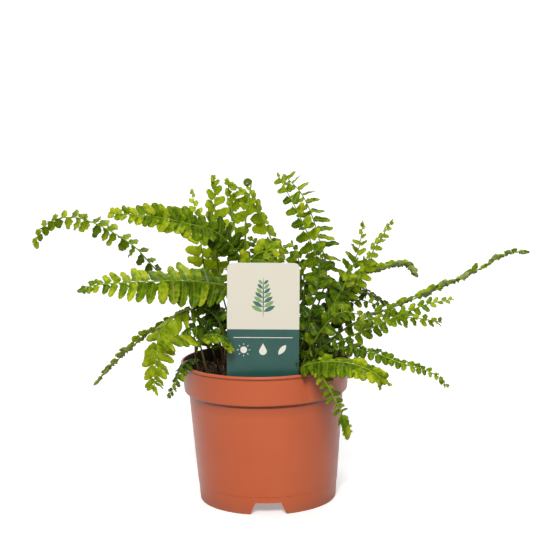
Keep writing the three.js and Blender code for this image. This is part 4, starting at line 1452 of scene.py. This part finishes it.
@dataclass
class Pot:
    """The nursery pot: a lathed shell with rounded edges, cut by its notches and drains.

    Sizes are in millimetres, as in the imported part; edges of more than sharp degrees are drawn sharp.
    """

    rim_radius: float = 60.0
    rim_top: float = 99.0
    lip_height: float = 1.5
    lip_depth: float = 0.6
    collar_top_radius: float = 59.2
    collar_bottom_radius: float = 57.7
    collar_bottom: float = 78.5
    body_top_radius: float = 54.6
    body_top: float = 76.5
    foot_radius: float = 48.6
    ledge_height: float = 12.5
    ledge_step: float = 0.3
    wall: float = 1.2
    foot_ring: float = 1.6
    floor_top: float = 11.2
    floor_thickness: float = 1.6
    sides: int = 192
    notches: int = 3
    notch_bottom: float = 26.0
    notch_top: float = 17.5
    notch_height: float = 8.5
    drains: int = 6
    drain_radius: float = 4.5
    drain_circle: float = 33.0
    drain_sides: int = 24
    sharp: float = 34.0

    def body_radius(self, height: float) -> float:
        """The tapered body's outer radius at a height."""
        return self.foot_radius + (self.body_top_radius - self.foot_radius) * height / self.body_top

    def profile(self) -> tuple[list[Point], int]:
        """The shell's section, as radius, height and fillet.

        Returns:
            The section from the floor's underside round the outside to the floor's top, and the
            number of the corner at which the inside begins.
        """
        under = self.floor_top - self.floor_thickness
        collar_inner = self.collar_bottom_radius - self.wall
        outside = [
            (0.0, under, 0.0),
            (self.body_radius(under) - self.foot_ring, under, 0.8),
            (self.foot_radius - self.ledge_step - self.foot_ring, 0.0, 0.3),
            (self.foot_radius - self.ledge_step, 0.0, 0.5),
            (self.body_radius(self.ledge_height) - self.ledge_step, self.ledge_height, 0.2),
            (self.body_radius(self.ledge_height), self.ledge_height + self.ledge_step, 0.2),
            (self.body_top_radius, self.body_top, 1.0),
            (self.collar_bottom_radius, self.collar_bottom, 0.9),
            (self.collar_top_radius, self.rim_top - self.lip_height - self.lip_depth, 0.3),
            (self.rim_radius, self.rim_top - self.lip_height, 0.35),
            (self.rim_radius - 0.3, self.rim_top, 0.5),
        ]
        inside = [
            (self.collar_top_radius - self.wall, self.rim_top, 0.4),
            (collar_inner, self.collar_bottom + self.wall, 0.8),
            (self.body_top_radius - self.wall, self.body_top + self.wall / 2, 0.8),
            (self.body_radius(self.floor_top) - self.wall, self.floor_top, 1.5),
            (0.0, self.floor_top, 0.0),
        ]
        return outside + inside, len(outside)

    def build(self) -> bpy.types.Object:
        """Builds the pot.

        Returns:
            The pot.
        """
        section, turn = self.profile()
        draft = Draft()
        points, inner = rounded(section, turn)
        lathe(draft, points, self.sides, [int(start >= inner) for start in range(len(points) - 1)])
        finish = PotFinish()
        materials = [finish.material("pot_plastic", False), finish.material("pot_inside", True)]
        piece = draft.build("fern_pot", materials)
        cutters = [self.notch(number) for number in range(self.notches)]
        cutters += [self.drain(number) for number in range(self.drains)]
        cut(piece, cutters)
        piece.data.set_sharp_from_angle(angle=math.radians(self.sharp))
        seat(piece, "pot", "pot")
        return piece

    def notch(self, number: int) -> Draft:
        """A wedge that cuts one notch through the foot ring.

        Args:
            number: Which notch, from 0.

        Returns:
            The wedge.
        """
        outline = [
            (-self.notch_bottom / 2, -1.0),
            (self.notch_bottom / 2, -1.0),
            (self.notch_top / 2, self.notch_height),
            (-self.notch_top / 2, self.notch_height),
        ]
        near, far = -1.4 * self.foot_radius, -0.5 * self.foot_radius
        turn = Matrix.Rotation(math.tau * number / self.notches, 4, "Z")
        ring = [turn @ Vector((x, y, z)) * MM for y in (near, far) for x, z in outline]
        return prism(ring, len(outline))

    def drain(self, number: int) -> Draft:
        """A round plug that cuts one drain hole through the floor.

        Args:
            number: Which hole, from 0.

        Returns:
            The plug.
        """
        angle = math.tau * (number + 0.5) / self.drains
        x, y = self.drain_circle * math.cos(angle), self.drain_circle * math.sin(angle)
        disc = disc_shape(x, y, self.drain_radius, self.drain_sides)
        low, high = self.floor_top - 2 * self.floor_thickness, self.floor_top + 2 * self.floor_thickness
        ring = [Vector((px, py, z)) * MM for z in (high, low) for px, py in disc]
        return prism(ring, self.drain_sides)


def prism(ring: Sequence[Vector], sides: int) -> Draft:
    """A closed prism.

    Args:
        ring: The corners of its two ends, one end after the other, the first seen anticlockwise.
        sides: How many corners an end has.

    Returns:
        The prism.
    """
    faces = [tuple(range(sides)), tuple(range(sides, 2 * sides))[::-1]]
    for side in range(sides):
        ahead = (side + 1) % sides
        faces.append((sides + side, sides + ahead, ahead, side))
    draft = Draft()
    draft.add(np.array(ring), faces)
    return draft


def rounded(section: Sequence[Point], turn: int, steps: int = 5) -> tuple[Outline, int]:
    """Rounds a section's corners.

    Args:
        section: Corners as radius, height and fillet.
        turn: The number of one corner to follow.
        steps: Points on each rounded corner.

    Returns:
        Points as radius and height, and where that corner now begins.
    """
    points: Outline = []
    start = 0
    for number, (radius, height, fillet) in enumerate(section):
        if number == turn:
            start = len(points)
        here = Vector((radius, height))
        if fillet == 0.0:
            points.append((radius, height))
            continue
        before = Vector(section[number - 1][:2]) - here
        after = Vector(section[number + 1][:2]) - here
        first = here + before.normalized() * min(fillet, 0.45 * before.length)
        last = here + after.normalized() * min(fillet, 0.45 * after.length)
        for step in range(steps):
            t = step / (steps - 1)
            point = first * (1 - t) ** 2 + here * 2 * t * (1 - t) + last * t**2
            points.append((point.x, point.y))
    return points, start


def lathe(draft: Draft, points: Outline, sides: int, slots: Sequence[int]) -> None:
    """Turns a section about the upright axis.

    Args:
        draft: The draft that takes it.
        points: Radius and height in millimetres; the first and the last lie on the axis.
        sides: How many sides.
        slots: The material slot of each stretch between two points.
    """
    angle = np.linspace(0.0, math.tau, sides, endpoint=False)
    between = points[1:-1]
    corners = [(0.0, 0.0, points[0][1])]
    for radius, height in between:
        ring = np.stack([radius * np.cos(angle), radius * np.sin(angle), np.full(sides, height)], axis=1)
        corners.extend(map(tuple, ring))
    corners.append((0.0, 0.0, points[-1][1]))
    top = len(corners) - 1
    last = top - sides
    faces: dict[int, list[tuple[int, ...]]] = {}
    for side in range(sides):
        ahead = (side + 1) % sides
        faces.setdefault(slots[0], []).append((0, 1 + ahead, 1 + side))
        for row, slot in enumerate(slots[1:-1]):
            low, high = 1 + row * sides, 1 + (row + 1) * sides
            faces.setdefault(slot, []).append((low + side, low + ahead, high + ahead, high + side))
        faces.setdefault(slots[-1], []).append((top, last + side, last + ahead))
    slot_of = {face: slot for slot, group in faces.items() for face in group}
    draft.add(np.array(corners) * MM, list(slot_of))
    draft.slots[-len(slot_of) :] = list(slot_of.values())


def cut(piece: bpy.types.Object, cutters: Sequence[Draft]) -> None:
    """Cuts closed drafts out of a piece.

    Args:
        piece: The piece.
        cutters: What is taken away.
    """
    tools = []
    for number, draft in enumerate(cutters):
        tool = draft.build(f"cutter_{number}", [])
        modifier = piece.modifiers.new(tool.name, "BOOLEAN")
        modifier.operation = "DIFFERENCE"
        modifier.object = tool
        tools.append(tool)
    bake(piece)
    for tool in tools:
        bpy.data.objects.remove(tool)


def bake(piece: bpy.types.Object) -> None:
    """Applies a piece's modifiers to its mesh.

    Args:
        piece: The piece.
    """
    graph = bpy.context.evaluated_depsgraph_get()
    mesh = bpy.data.meshes.new_from_object(piece.evaluated_get(graph))
    piece.modifiers.clear()
    piece.data = mesh


GOLD = (1 + math.sqrt(5)) / 2
ICOSA = np.array(
    [np.roll((0.0, a, b * GOLD), turn) for turn in range(3) for a in (-1, 1) for b in (-1, 1)]
) / math.hypot(1.0, GOLD)


def icosa_faces() -> list[tuple[int, int, int]]:
    """Finds the faces of the icosahedron whose corners are ICOSA.

    Returns:
        The faces, seen from outside.
    """
    faces = []
    edge = 2.0 / math.hypot(1.0, GOLD) * 1.01
    for a in range(12):
        for b in range(a + 1, 12):
            for c in range(b + 1, 12):
                corners = ICOSA[[a, b, c]]
                if max(np.linalg.norm(corners - np.roll(corners, 1, axis=0), axis=1)) > edge:
                    continue
                out = np.dot(np.cross(corners[1] - corners[0], corners[2] - corners[0]), corners[0]) > 0
                faces.append((a, b, c) if out else (a, c, b))
    return faces


ICOSA_FACES = icosa_faces()


@dataclass(frozen=True)
class Lumps:
    """Loose lumps of one kind.

    Attributes:
        count: How many.
        size: The least and the greatest radius, in millimetres.
        shape: Their proportions.
        uneven: The ends of the draw by which a corner stands out, as shares of the radius.
        raised: How high their middle lies, as a share of their height.
    """

    count: int
    size: Pair
    shape: Point
    uneven: Pair = (0.72, 1.22)
    raised: float = 0.55


@dataclass
class Soil:
    """The soil: a body that fills the pot, with crumbs, chips of bark and root hairs on top.

    Lengths are in millimetres; clods and grains are waves to a metre.
    """

    top: float = 90.0
    bump: float = 1.2
    rough: float = 0.9
    clods: float = 260.0
    grains: float = 900.0
    gap: float = 0.3
    rings: int = 64
    sides: int = 160
    crumbs: Lumps = Lumps(1500, (0.35, 1.5), (1.0, 0.85, 0.7))
    chips: Lumps = Lumps(90, (1.2, 2.9), (1.0, 0.5, 0.22))
    fibres: int = 70
    fibre_steps: int = 9
    fibre_step: float = 0.9
    fibre_radius: float = 0.13
    fibre_lift: float = 1.6
    sharp: float = 40.0
    seed: int = 5

    def height(self, x: np.ndarray, y: np.ndarray) -> np.ndarray:
        """The surface's height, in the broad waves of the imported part."""
        broad = np.sin(0.23 * x + 0.6) * np.cos(0.19 * y)
        return self.top + self.bump * (broad + 0.5 * np.sin(0.41 * (x + y)))

    def build(self, pot: Pot) -> bpy.types.Object:
        """Builds the body.

        Args:
            pot: The pot that it lies in.

        Returns:
            The soil.
        """
        draft = Draft()
        low = pot.floor_top + self.gap
        wide = pot.collar_bottom_radius - pot.wall - self.gap
        side = [
            (0.0, low),
            (pot.body_radius(low) - pot.wall - self.gap, low),
            (pot.body_top_radius - pot.wall - self.gap, pot.body_top + pot.wall / 2 + self.gap),
            (wide, pot.collar_bottom + pot.wall + self.gap),
            (wide + 0.4, self.top - 1.0),
        ]
        across = [(wide * (1.0 - (ring / self.rings)), self.top) for ring in range(self.rings)]
        points = [*side, *across, (0.0, self.top)]
        lathe(draft, points, self.sides, [0] * (len(points) - 1))
        piece = draft.build("fern_soil", [SoilFinish().material("soil")])
        for corner in piece.data.vertices:
            x, y, z = (value / MM for value in corner.co)
            if z < self.top - 0.5:
                continue
            clod = noise.fractal(corner.co * self.clods, 0.8, 2.1, 4)
            clod += 0.5 * noise.noise(corner.co * self.grains)
            edge = min(1.0, (wide + 0.5 - math.hypot(x, y)) / 1.5)
            corner.co.z = (float(self.height(x, y)) + self.rough * clod * edge) * MM
        seat(piece, "soil", "soil")
        return piece

    def litter(self, pot: Pot) -> list[bpy.types.Object]:
        """Builds what lies on the soil.

        Args:
            pot: The pot that it lies in.

        Returns:
            The crumbs, the chips and the root hairs.
        """
        chance = np.random.default_rng(self.seed)
        wide = pot.collar_top_radius - pot.wall - 1.6
        crumbs, chips, fibres = Draft(), Draft(), Draft()
        for kind, draft in ((self.crumbs, crumbs), (self.chips, chips)):
            for _ in range(kind.count):
                self.lump(draft, chance, wide, kind)
        for _ in range(self.fibres):
            self.fibre(fibres, chance, wide)
        rows = [
            (crumbs, "fern_soil_crumbs", SoilFinish().material("soil_crumbs")),
            (chips, "fern_soil_bark", SoilFinish().material("soil_bark", True)),
            (fibres, "fern_root_hairs", ScaleFinish().material("root_hairs")),
        ]
        pieces = []
        for draft, name, material in rows:
            piece = draft.build(name, [material], self.sharp)
            seat(piece, "soil")
            pieces.append(piece)
        return pieces

    def spot(self, chance: np.random.Generator, wide: float) -> Point:
        """A random place on the soil.

        Args:
            chance: The seeded draws.
            wide: How far from the middle it may be.

        Returns:
            The place.
        """
        angle = chance.uniform(0.0, math.tau)
        radius = wide * math.sqrt(chance.uniform(0.0, 1.0))
        x, y = radius * math.cos(angle), radius * math.sin(angle)
        return x, y, float(self.height(x, y))

    def lump(self, draft: Draft, chance: np.random.Generator, wide: float, kind: Lumps) -> None:
        """Adds one rough lump.

        Args:
            draft: The draft that takes it.
            chance: The seeded draws.
            wide: How far from the middle it may lie.
            kind: What kind it is of.
        """
        size = chance.uniform(*kind.size)
        x, y, z = self.spot(chance, wide - size)
        corners = ICOSA * chance.uniform(*kind.uneven, (len(ICOSA), 1)) * np.array(kind.shape) * size
        turn = Euler([*chance.uniform(-0.6, 0.6, 2), chance.uniform(0.0, 6.28)]).to_matrix()
        corners = corners @ np.array(turn).T + np.array([x, y, z + size * kind.shape[2] * kind.raised])
        draft.add(corners * MM, ICOSA_FACES)

    def fibre(self, draft: Draft, chance: np.random.Generator, wide: float) -> None:
        """Adds one fine root that loops over the soil.

        Args:
            draft: The draft that takes it.
            chance: The seeded draws.
            wide: How far from the middle it may lie.
        """
        x, y, _z = self.spot(chance, wide - 6.0)
        heading = chance.uniform(0.0, math.tau)
        places = []
        for step in range(self.fibre_steps):
            lift = self.fibre_lift * math.sin(math.pi * step / (self.fibre_steps - 1)) + 0.1
            places.append((x, y, float(self.height(x, y)) + lift))
            heading += chance.uniform(-0.5, 0.5)
            x, y = x + self.fibre_step * math.cos(heading), y + self.fibre_step * math.sin(heading)
        at = np.array(places) * MM
        along = unit(np.gradient(at, axis=0))
        up = turned(np.broadcast_to((0.0, 0.0, 1.0), along.shape), along)
        angle = np.array([0.5, 2.6, 4.7])
        radius = np.full((len(at), len(angle)), self.fibre_radius * MM)
        corners = tube_corners(at, up, np.cross(along, up), angle, radius)
        draft.add(corners, tube_faces(len(at), len(angle)))


class Ink(Enum):
    """The label's inks and their colours, in the order of the print's slots."""

    TEAL = (0.035, 0.13, 0.105)
    GREEN = (0.20, 0.33, 0.11)
    CREAM = (0.78, 0.74, 0.64)


@dataclass
class Label:
    """The plant label: a thin card that narrows to a stake, leaning a little.

    Sizes are in millimetres and degrees; the card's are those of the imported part.
    """

    width: float = 48.8
    top: float = 174.0
    shoulder: float = 92.0
    tip: float = 60.0
    tip_width: float = 9.0
    corner: float = 4.0
    thickness: float = 0.8
    x: float = -2.0
    y: float = -47.0
    soil_top: float = 90.0
    lean_back: float = 2.0
    lean_side: float = 1.6
    division: float = 129.0
    chamfer: float = 0.14
    ink: float = 0.03
    ink_depth: float = 0.1
    sprig_foot: float = 136.5
    sprig_head: float = 165.0
    sprig_pairs: int = 7
    emblem_height: float = 115.0
    sun: float = -13.0
    rays: int = 8
    sharp: float = 30.0

    def place(self) -> Matrix:
        """Takes a point of the card, across, forward and up from the soil, to the part's frame.

        Returns:
            The matrix that does so.
        """
        turn = Matrix.Rotation(math.radians(self.lean_side), 4, "Y")
        tilt = Matrix.Rotation(math.radians(-self.lean_back), 4, "X")
        return Matrix.Translation((self.x * MM, self.y * MM, self.soil_top * MM)) @ turn @ tilt

    def outline(self) -> Outline:
        """Draws the card.

        Returns:
            Its outline, anticlockwise as its printed side shows it.
        """
        half = self.width / 2
        arc = [math.pi / 2 * step / 10 for step in range(11)]
        x, z = half - self.corner, self.top - self.corner
        right = [(x + self.corner * math.cos(a), z + self.corner * math.sin(a)) for a in arc]
        left = [(-x, z) for x, z in reversed(right)]
        foot = [(-self.tip_width / 2, self.tip), (self.tip_width / 2, self.tip)]
        return [*foot, (half, self.shoulder), *right, *left, (-half, self.shoulder)]

    def plate(self, draft: Draft, outline: Outline, front: float, back: float, slot: int) -> None:
        """Adds a flat closed plate with a fine chamfer round its front and back.

        Args:
            draft: The draft that takes it.
            outline: Its outline as across and height, anticlockwise.
            front: How far its face stands before the card's middle.
            back: How far its back does.
            slot: Its material slot.
        """
        bevel = min(self.chamfer, abs(front - back) / 3)
        inner = inset(outline, bevel)
        layers = [(inner, front), (outline, front - bevel), (outline, back + bevel), (inner, back)]
        place = self.place()
        card = [(x, z, depth) for ring, depth in layers for x, z in ring]
        scaled = [place @ (Vector((x, -depth, z - self.soil_top)) * MM) for x, z, depth in card]
        count = len(outline)
        faces = [tuple(range(count)), tuple(range(3 * count, 4 * count))[::-1]]
        for layer in range(3):
            for side in range(count):
                ahead = (side + 1) % count
                low, high = (layer + 1) * count, layer * count
                faces.append((low + side, low + ahead, high + ahead, high + side))
        draft.add(np.array(scaled), faces, slot, card=np.array(card))

    def build(self) -> list[bpy.types.Object]:
        """Builds the card and its print.

        Returns:
            Both.
        """
        card = Draft()
        self.plate(card, self.outline(), self.thickness / 2, -self.thickness / 2, 0)
        piece = card.build("fern_label", [CardFinish().material("label_card", self.division)], self.sharp)
        seat(piece, "label", "label")
        prints = Draft()
        for outline, ink in [*self.sprig(), *self.emblems()]:
            front, back = self.thickness / 2 + self.ink, self.thickness / 2 - self.ink_depth
            self.plate(prints, outline, front, back, list(Ink).index(ink))
        inks = [InkFinish(ink.value).material(f"ink_{ink.name.lower()}") for ink in Ink]
        shown = prints.build("fern_label_print", inks, self.sharp)
        seat(shown, "label")
        return [piece, shown]

    def sprig(self) -> list[tuple[Outline, Ink]]:
        """The sprig above the line.

        Returns:
            Outlines on the card, each with its ink.
        """
        foot, inks = self.sprig_foot, (Ink.TEAL, Ink.GREEN)
        shapes = [(leaf_shape(0.0, foot, 90.0, self.sprig_head - foot, 0.9), Ink.TEAL)]
        for step in range(self.sprig_pairs):
            height = foot + 4.5 + step * 3.1
            rise, length, wide = 28.0 + 3 * step, 8.6 - 0.75 * step, 3.0 - 0.18 * step
            shapes.append((leaf_shape(0.4, height, rise, length, wide), inks[step % 2]))
            shapes.append((leaf_shape(-0.4, height, 180.0 - rise, length, wide), inks[(step + 1) % 2]))
        return shapes

    def emblems(self) -> list[tuple[Outline, Ink]]:
        """The sun, the drop and the leaf below the line, and the line.

        Returns:
            Outlines on the card, each with its ink.
        """
        middle = self.emblem_height
        shapes = [disc_shape(self.sun, middle, 2.3)]
        for ray in range(self.rays):
            turn = 360.0 * ray / self.rays
            x = self.sun + 3.2 * math.cos(math.radians(turn))
            z = middle + 3.2 * math.sin(math.radians(turn))
            shapes.append(leaf_shape(x, z, turn, 1.5, 0.55))
        shapes.append(drop_shape(0.0, middle - 0.9, 2.6))
        shapes.append(leaf_shape(10.4, middle - 3.2, 52.0, 8.4, 3.6))
        shapes.append(bar_shape(-20.0, 20.0, 123.4, 0.5))
        return [(outline, Ink.CREAM) for outline in shapes]


def inset(outline: Outline, depth: float) -> Outline:
    """Moves an anticlockwise outline inwards by a depth.

    Args:
        outline: The outline.
        depth: How far.

    Returns:
        The new outline, corner for corner.
    """
    moved = []
    for number, (x, z) in enumerate(outline):
        before, after = Vector(outline[number - 1]), Vector(outline[(number + 1) % len(outline)])
        way = (after - before).normalized()
        moved.append((x - way.y * depth, z + way.x * depth))
    return moved


def leaf_shape(x: float, z: float, turn: float, length: float, wide: float) -> Outline:
    """A pointed leaf.

    Args:
        x: Where its foot is across the card.
        z: Where its foot is up the card.
        turn: Which way it points, in degrees.
        length: Its length.
        wide: Its width.

    Returns:
        Its outline.
    """
    steps = 8
    share = [step / steps for step in range(steps + 1)]
    lower = [(s * length, -wide / 2 * math.sin(math.pi * s) ** 0.8) for s in share]
    upper = [(s * length, wide / 2 * math.sin(math.pi * s) ** 0.8) for s in reversed(share[1:-1])]
    cos, sin = math.cos(math.radians(turn)), math.sin(math.radians(turn))
    return [(x + u * cos - v * sin, z + u * sin + v * cos) for u, v in lower + upper]


def disc_shape(x: float, z: float, radius: float, sides: int = 28) -> Outline:
    """A disc's outline."""
    turns = [math.tau * side / sides for side in range(sides)]
    return [(x + radius * math.cos(turn), z + radius * math.sin(turn)) for turn in turns]


def drop_shape(x: float, z: float, radius: float) -> Outline:
    """A drop's outline, its point up."""
    turns = [math.radians(150.0 + 240.0 * step / 22) for step in range(23)]
    return [(x + radius * math.cos(t), z + radius * math.sin(t)) for t in turns] + [(x, z + 2.1 * radius)]


def bar_shape(left: float, right: float, z: float, high: float) -> Outline:
    """A straight bar's outline."""
    return [(left, z - high / 2), (right, z - high / 2), (right, z + high / 2), (left, z + high / 2)]


@dataclass(frozen=True)
class Lamp:
    """A square area light, with its places and side in metres and its power in watts."""

    name: str
    at: Point
    towards: Point
    size: float
    power: float

    def build(self) -> None:
        """Adds it to the scene."""
        light = bpy.data.lights.new(self.name, "AREA")
        light.size = self.size
        light.energy = self.power
        lamp = bpy.data.objects.new(self.name, light)
        lamp.location = self.at
        lamp.rotation_euler = (Vector(self.towards) - Vector(self.at)).to_track_quat("-Z", "Y").to_euler()
        bpy.context.scene.collection.objects.link(lamp)


@dataclass
class Studio:
    """The pale sweep, the soft lights and the camera.

    Lengths are in metres, save the lens's and the sensor's in millimetres, and angles in
    degrees. The lamps are a soft key from above the camera, one from behind on the left and one
    from above.
    """

    camera_at: Point = (0.0023, -0.991, 0.3094)
    pitch: float = 8.29
    roll: float = 1.24
    lens: float = 96.4
    sensor: float = 36.0
    world: float = 0.20
    front: float = 14.0
    back: float = 2.2
    side: float = 14.0
    bend: float = 1.2
    high: float = 4.5
    steps: int = 24
    lamps: tuple[Lamp, ...] = (
        Lamp("key", (-0.08, -1.6, 1.3), (0.0, 0.0, 0.12), 0.55, 40.0),
        Lamp("rim", (-1.4, 0.4, 0.6), (0.0, 0.0, 0.12), 1.0, 1.6),
        Lamp("top", (0.1, 0.6, 1.8), (0.0, 0.0, 0.14), 0.7, 18.0),
    )

    def build(self) -> bpy.types.Object:
        """Builds all three.

        Returns:
            The sweep.
        """
        floor = self.sweep()
        for lamp in self.lamps:
            lamp.build()
        self.surroundings()
        self.camera()
        return floor

    def sweep(self) -> bpy.types.Object:
        """Builds a floor that curves up into a backdrop far behind.

        Returns:
            The floor. It throws no light back up at the plant.
        """
        section = [(-self.front, 0.0), (self.back, 0.0)]
        for step in range(1, self.steps + 1):
            angle = math.pi / 2 * step / self.steps
            section.append((self.back + self.bend * math.sin(angle), self.bend * (1 - math.cos(angle))))
        section.append((self.back + self.bend, self.high))
        draft = Draft()
        corners = [(x, y, z) for y, z in section for x in (-self.side, self.side)]
        faces = [(2 * r, 2 * r + 1, 2 * r + 3, 2 * r + 2) for r in range(len(section) - 1)]
        draft.add(np.array(corners), faces)
        floor = draft.build("studio_sweep", [FloorFinish().material("studio_floor")])
        floor.visible_diffuse = False
        return floor

    def surroundings(self) -> None:
        """Lights the scene evenly from all round and shows colours as they are."""
        world = bpy.data.worlds.new("studio_world")
        bpy.context.scene.world = world
        world.use_nodes = True
        ground = world.node_tree.nodes["Background"]
        ground.inputs["Color"].default_value = (1.0, 1.0, 1.0, 1.0)
        ground.inputs["Strength"].default_value = self.world
        bpy.context.scene.view_settings.view_transform = "Standard"

    def camera(self) -> None:
        """Makes the camera and gives it to the scene."""
        data = bpy.data.cameras.new("camera")
        data.lens, data.sensor_width = self.lens, self.sensor
        data.clip_start = 0.01
        camera = bpy.data.objects.new("camera", data)
        turn = Matrix.Rotation(math.radians(90.0 - self.pitch), 4, "X")
        roll = Matrix.Rotation(math.radians(-self.roll), 4, "Z")
        camera.matrix_world = Matrix.Translation(self.camera_at) @ turn @ roll
        bpy.context.scene.collection.objects.link(camera)
        bpy.context.scene.camera = camera


def report(*pieces: bpy.types.Object) -> None:
    """Logs the name of each piece and how many faces it has."""
    for piece in pieces:
        LOG.info("%s: %d faces", piece.name, len(piece.data.polygons))


def main() -> None:
    """Builds the studio, the pot, its soil, the label and the fronds."""
    logging.basicConfig(level=logging.INFO, format="%(name)s %(message)s")
    pot, soil = Pot(), Soil()
    report(Studio().build())
    report(pot.build())
    report(soil.build(pot), *soil.litter(pot))
    report(*Label().build())
    report(*Foliage().build())


if __name__ == "__main__":
    main()
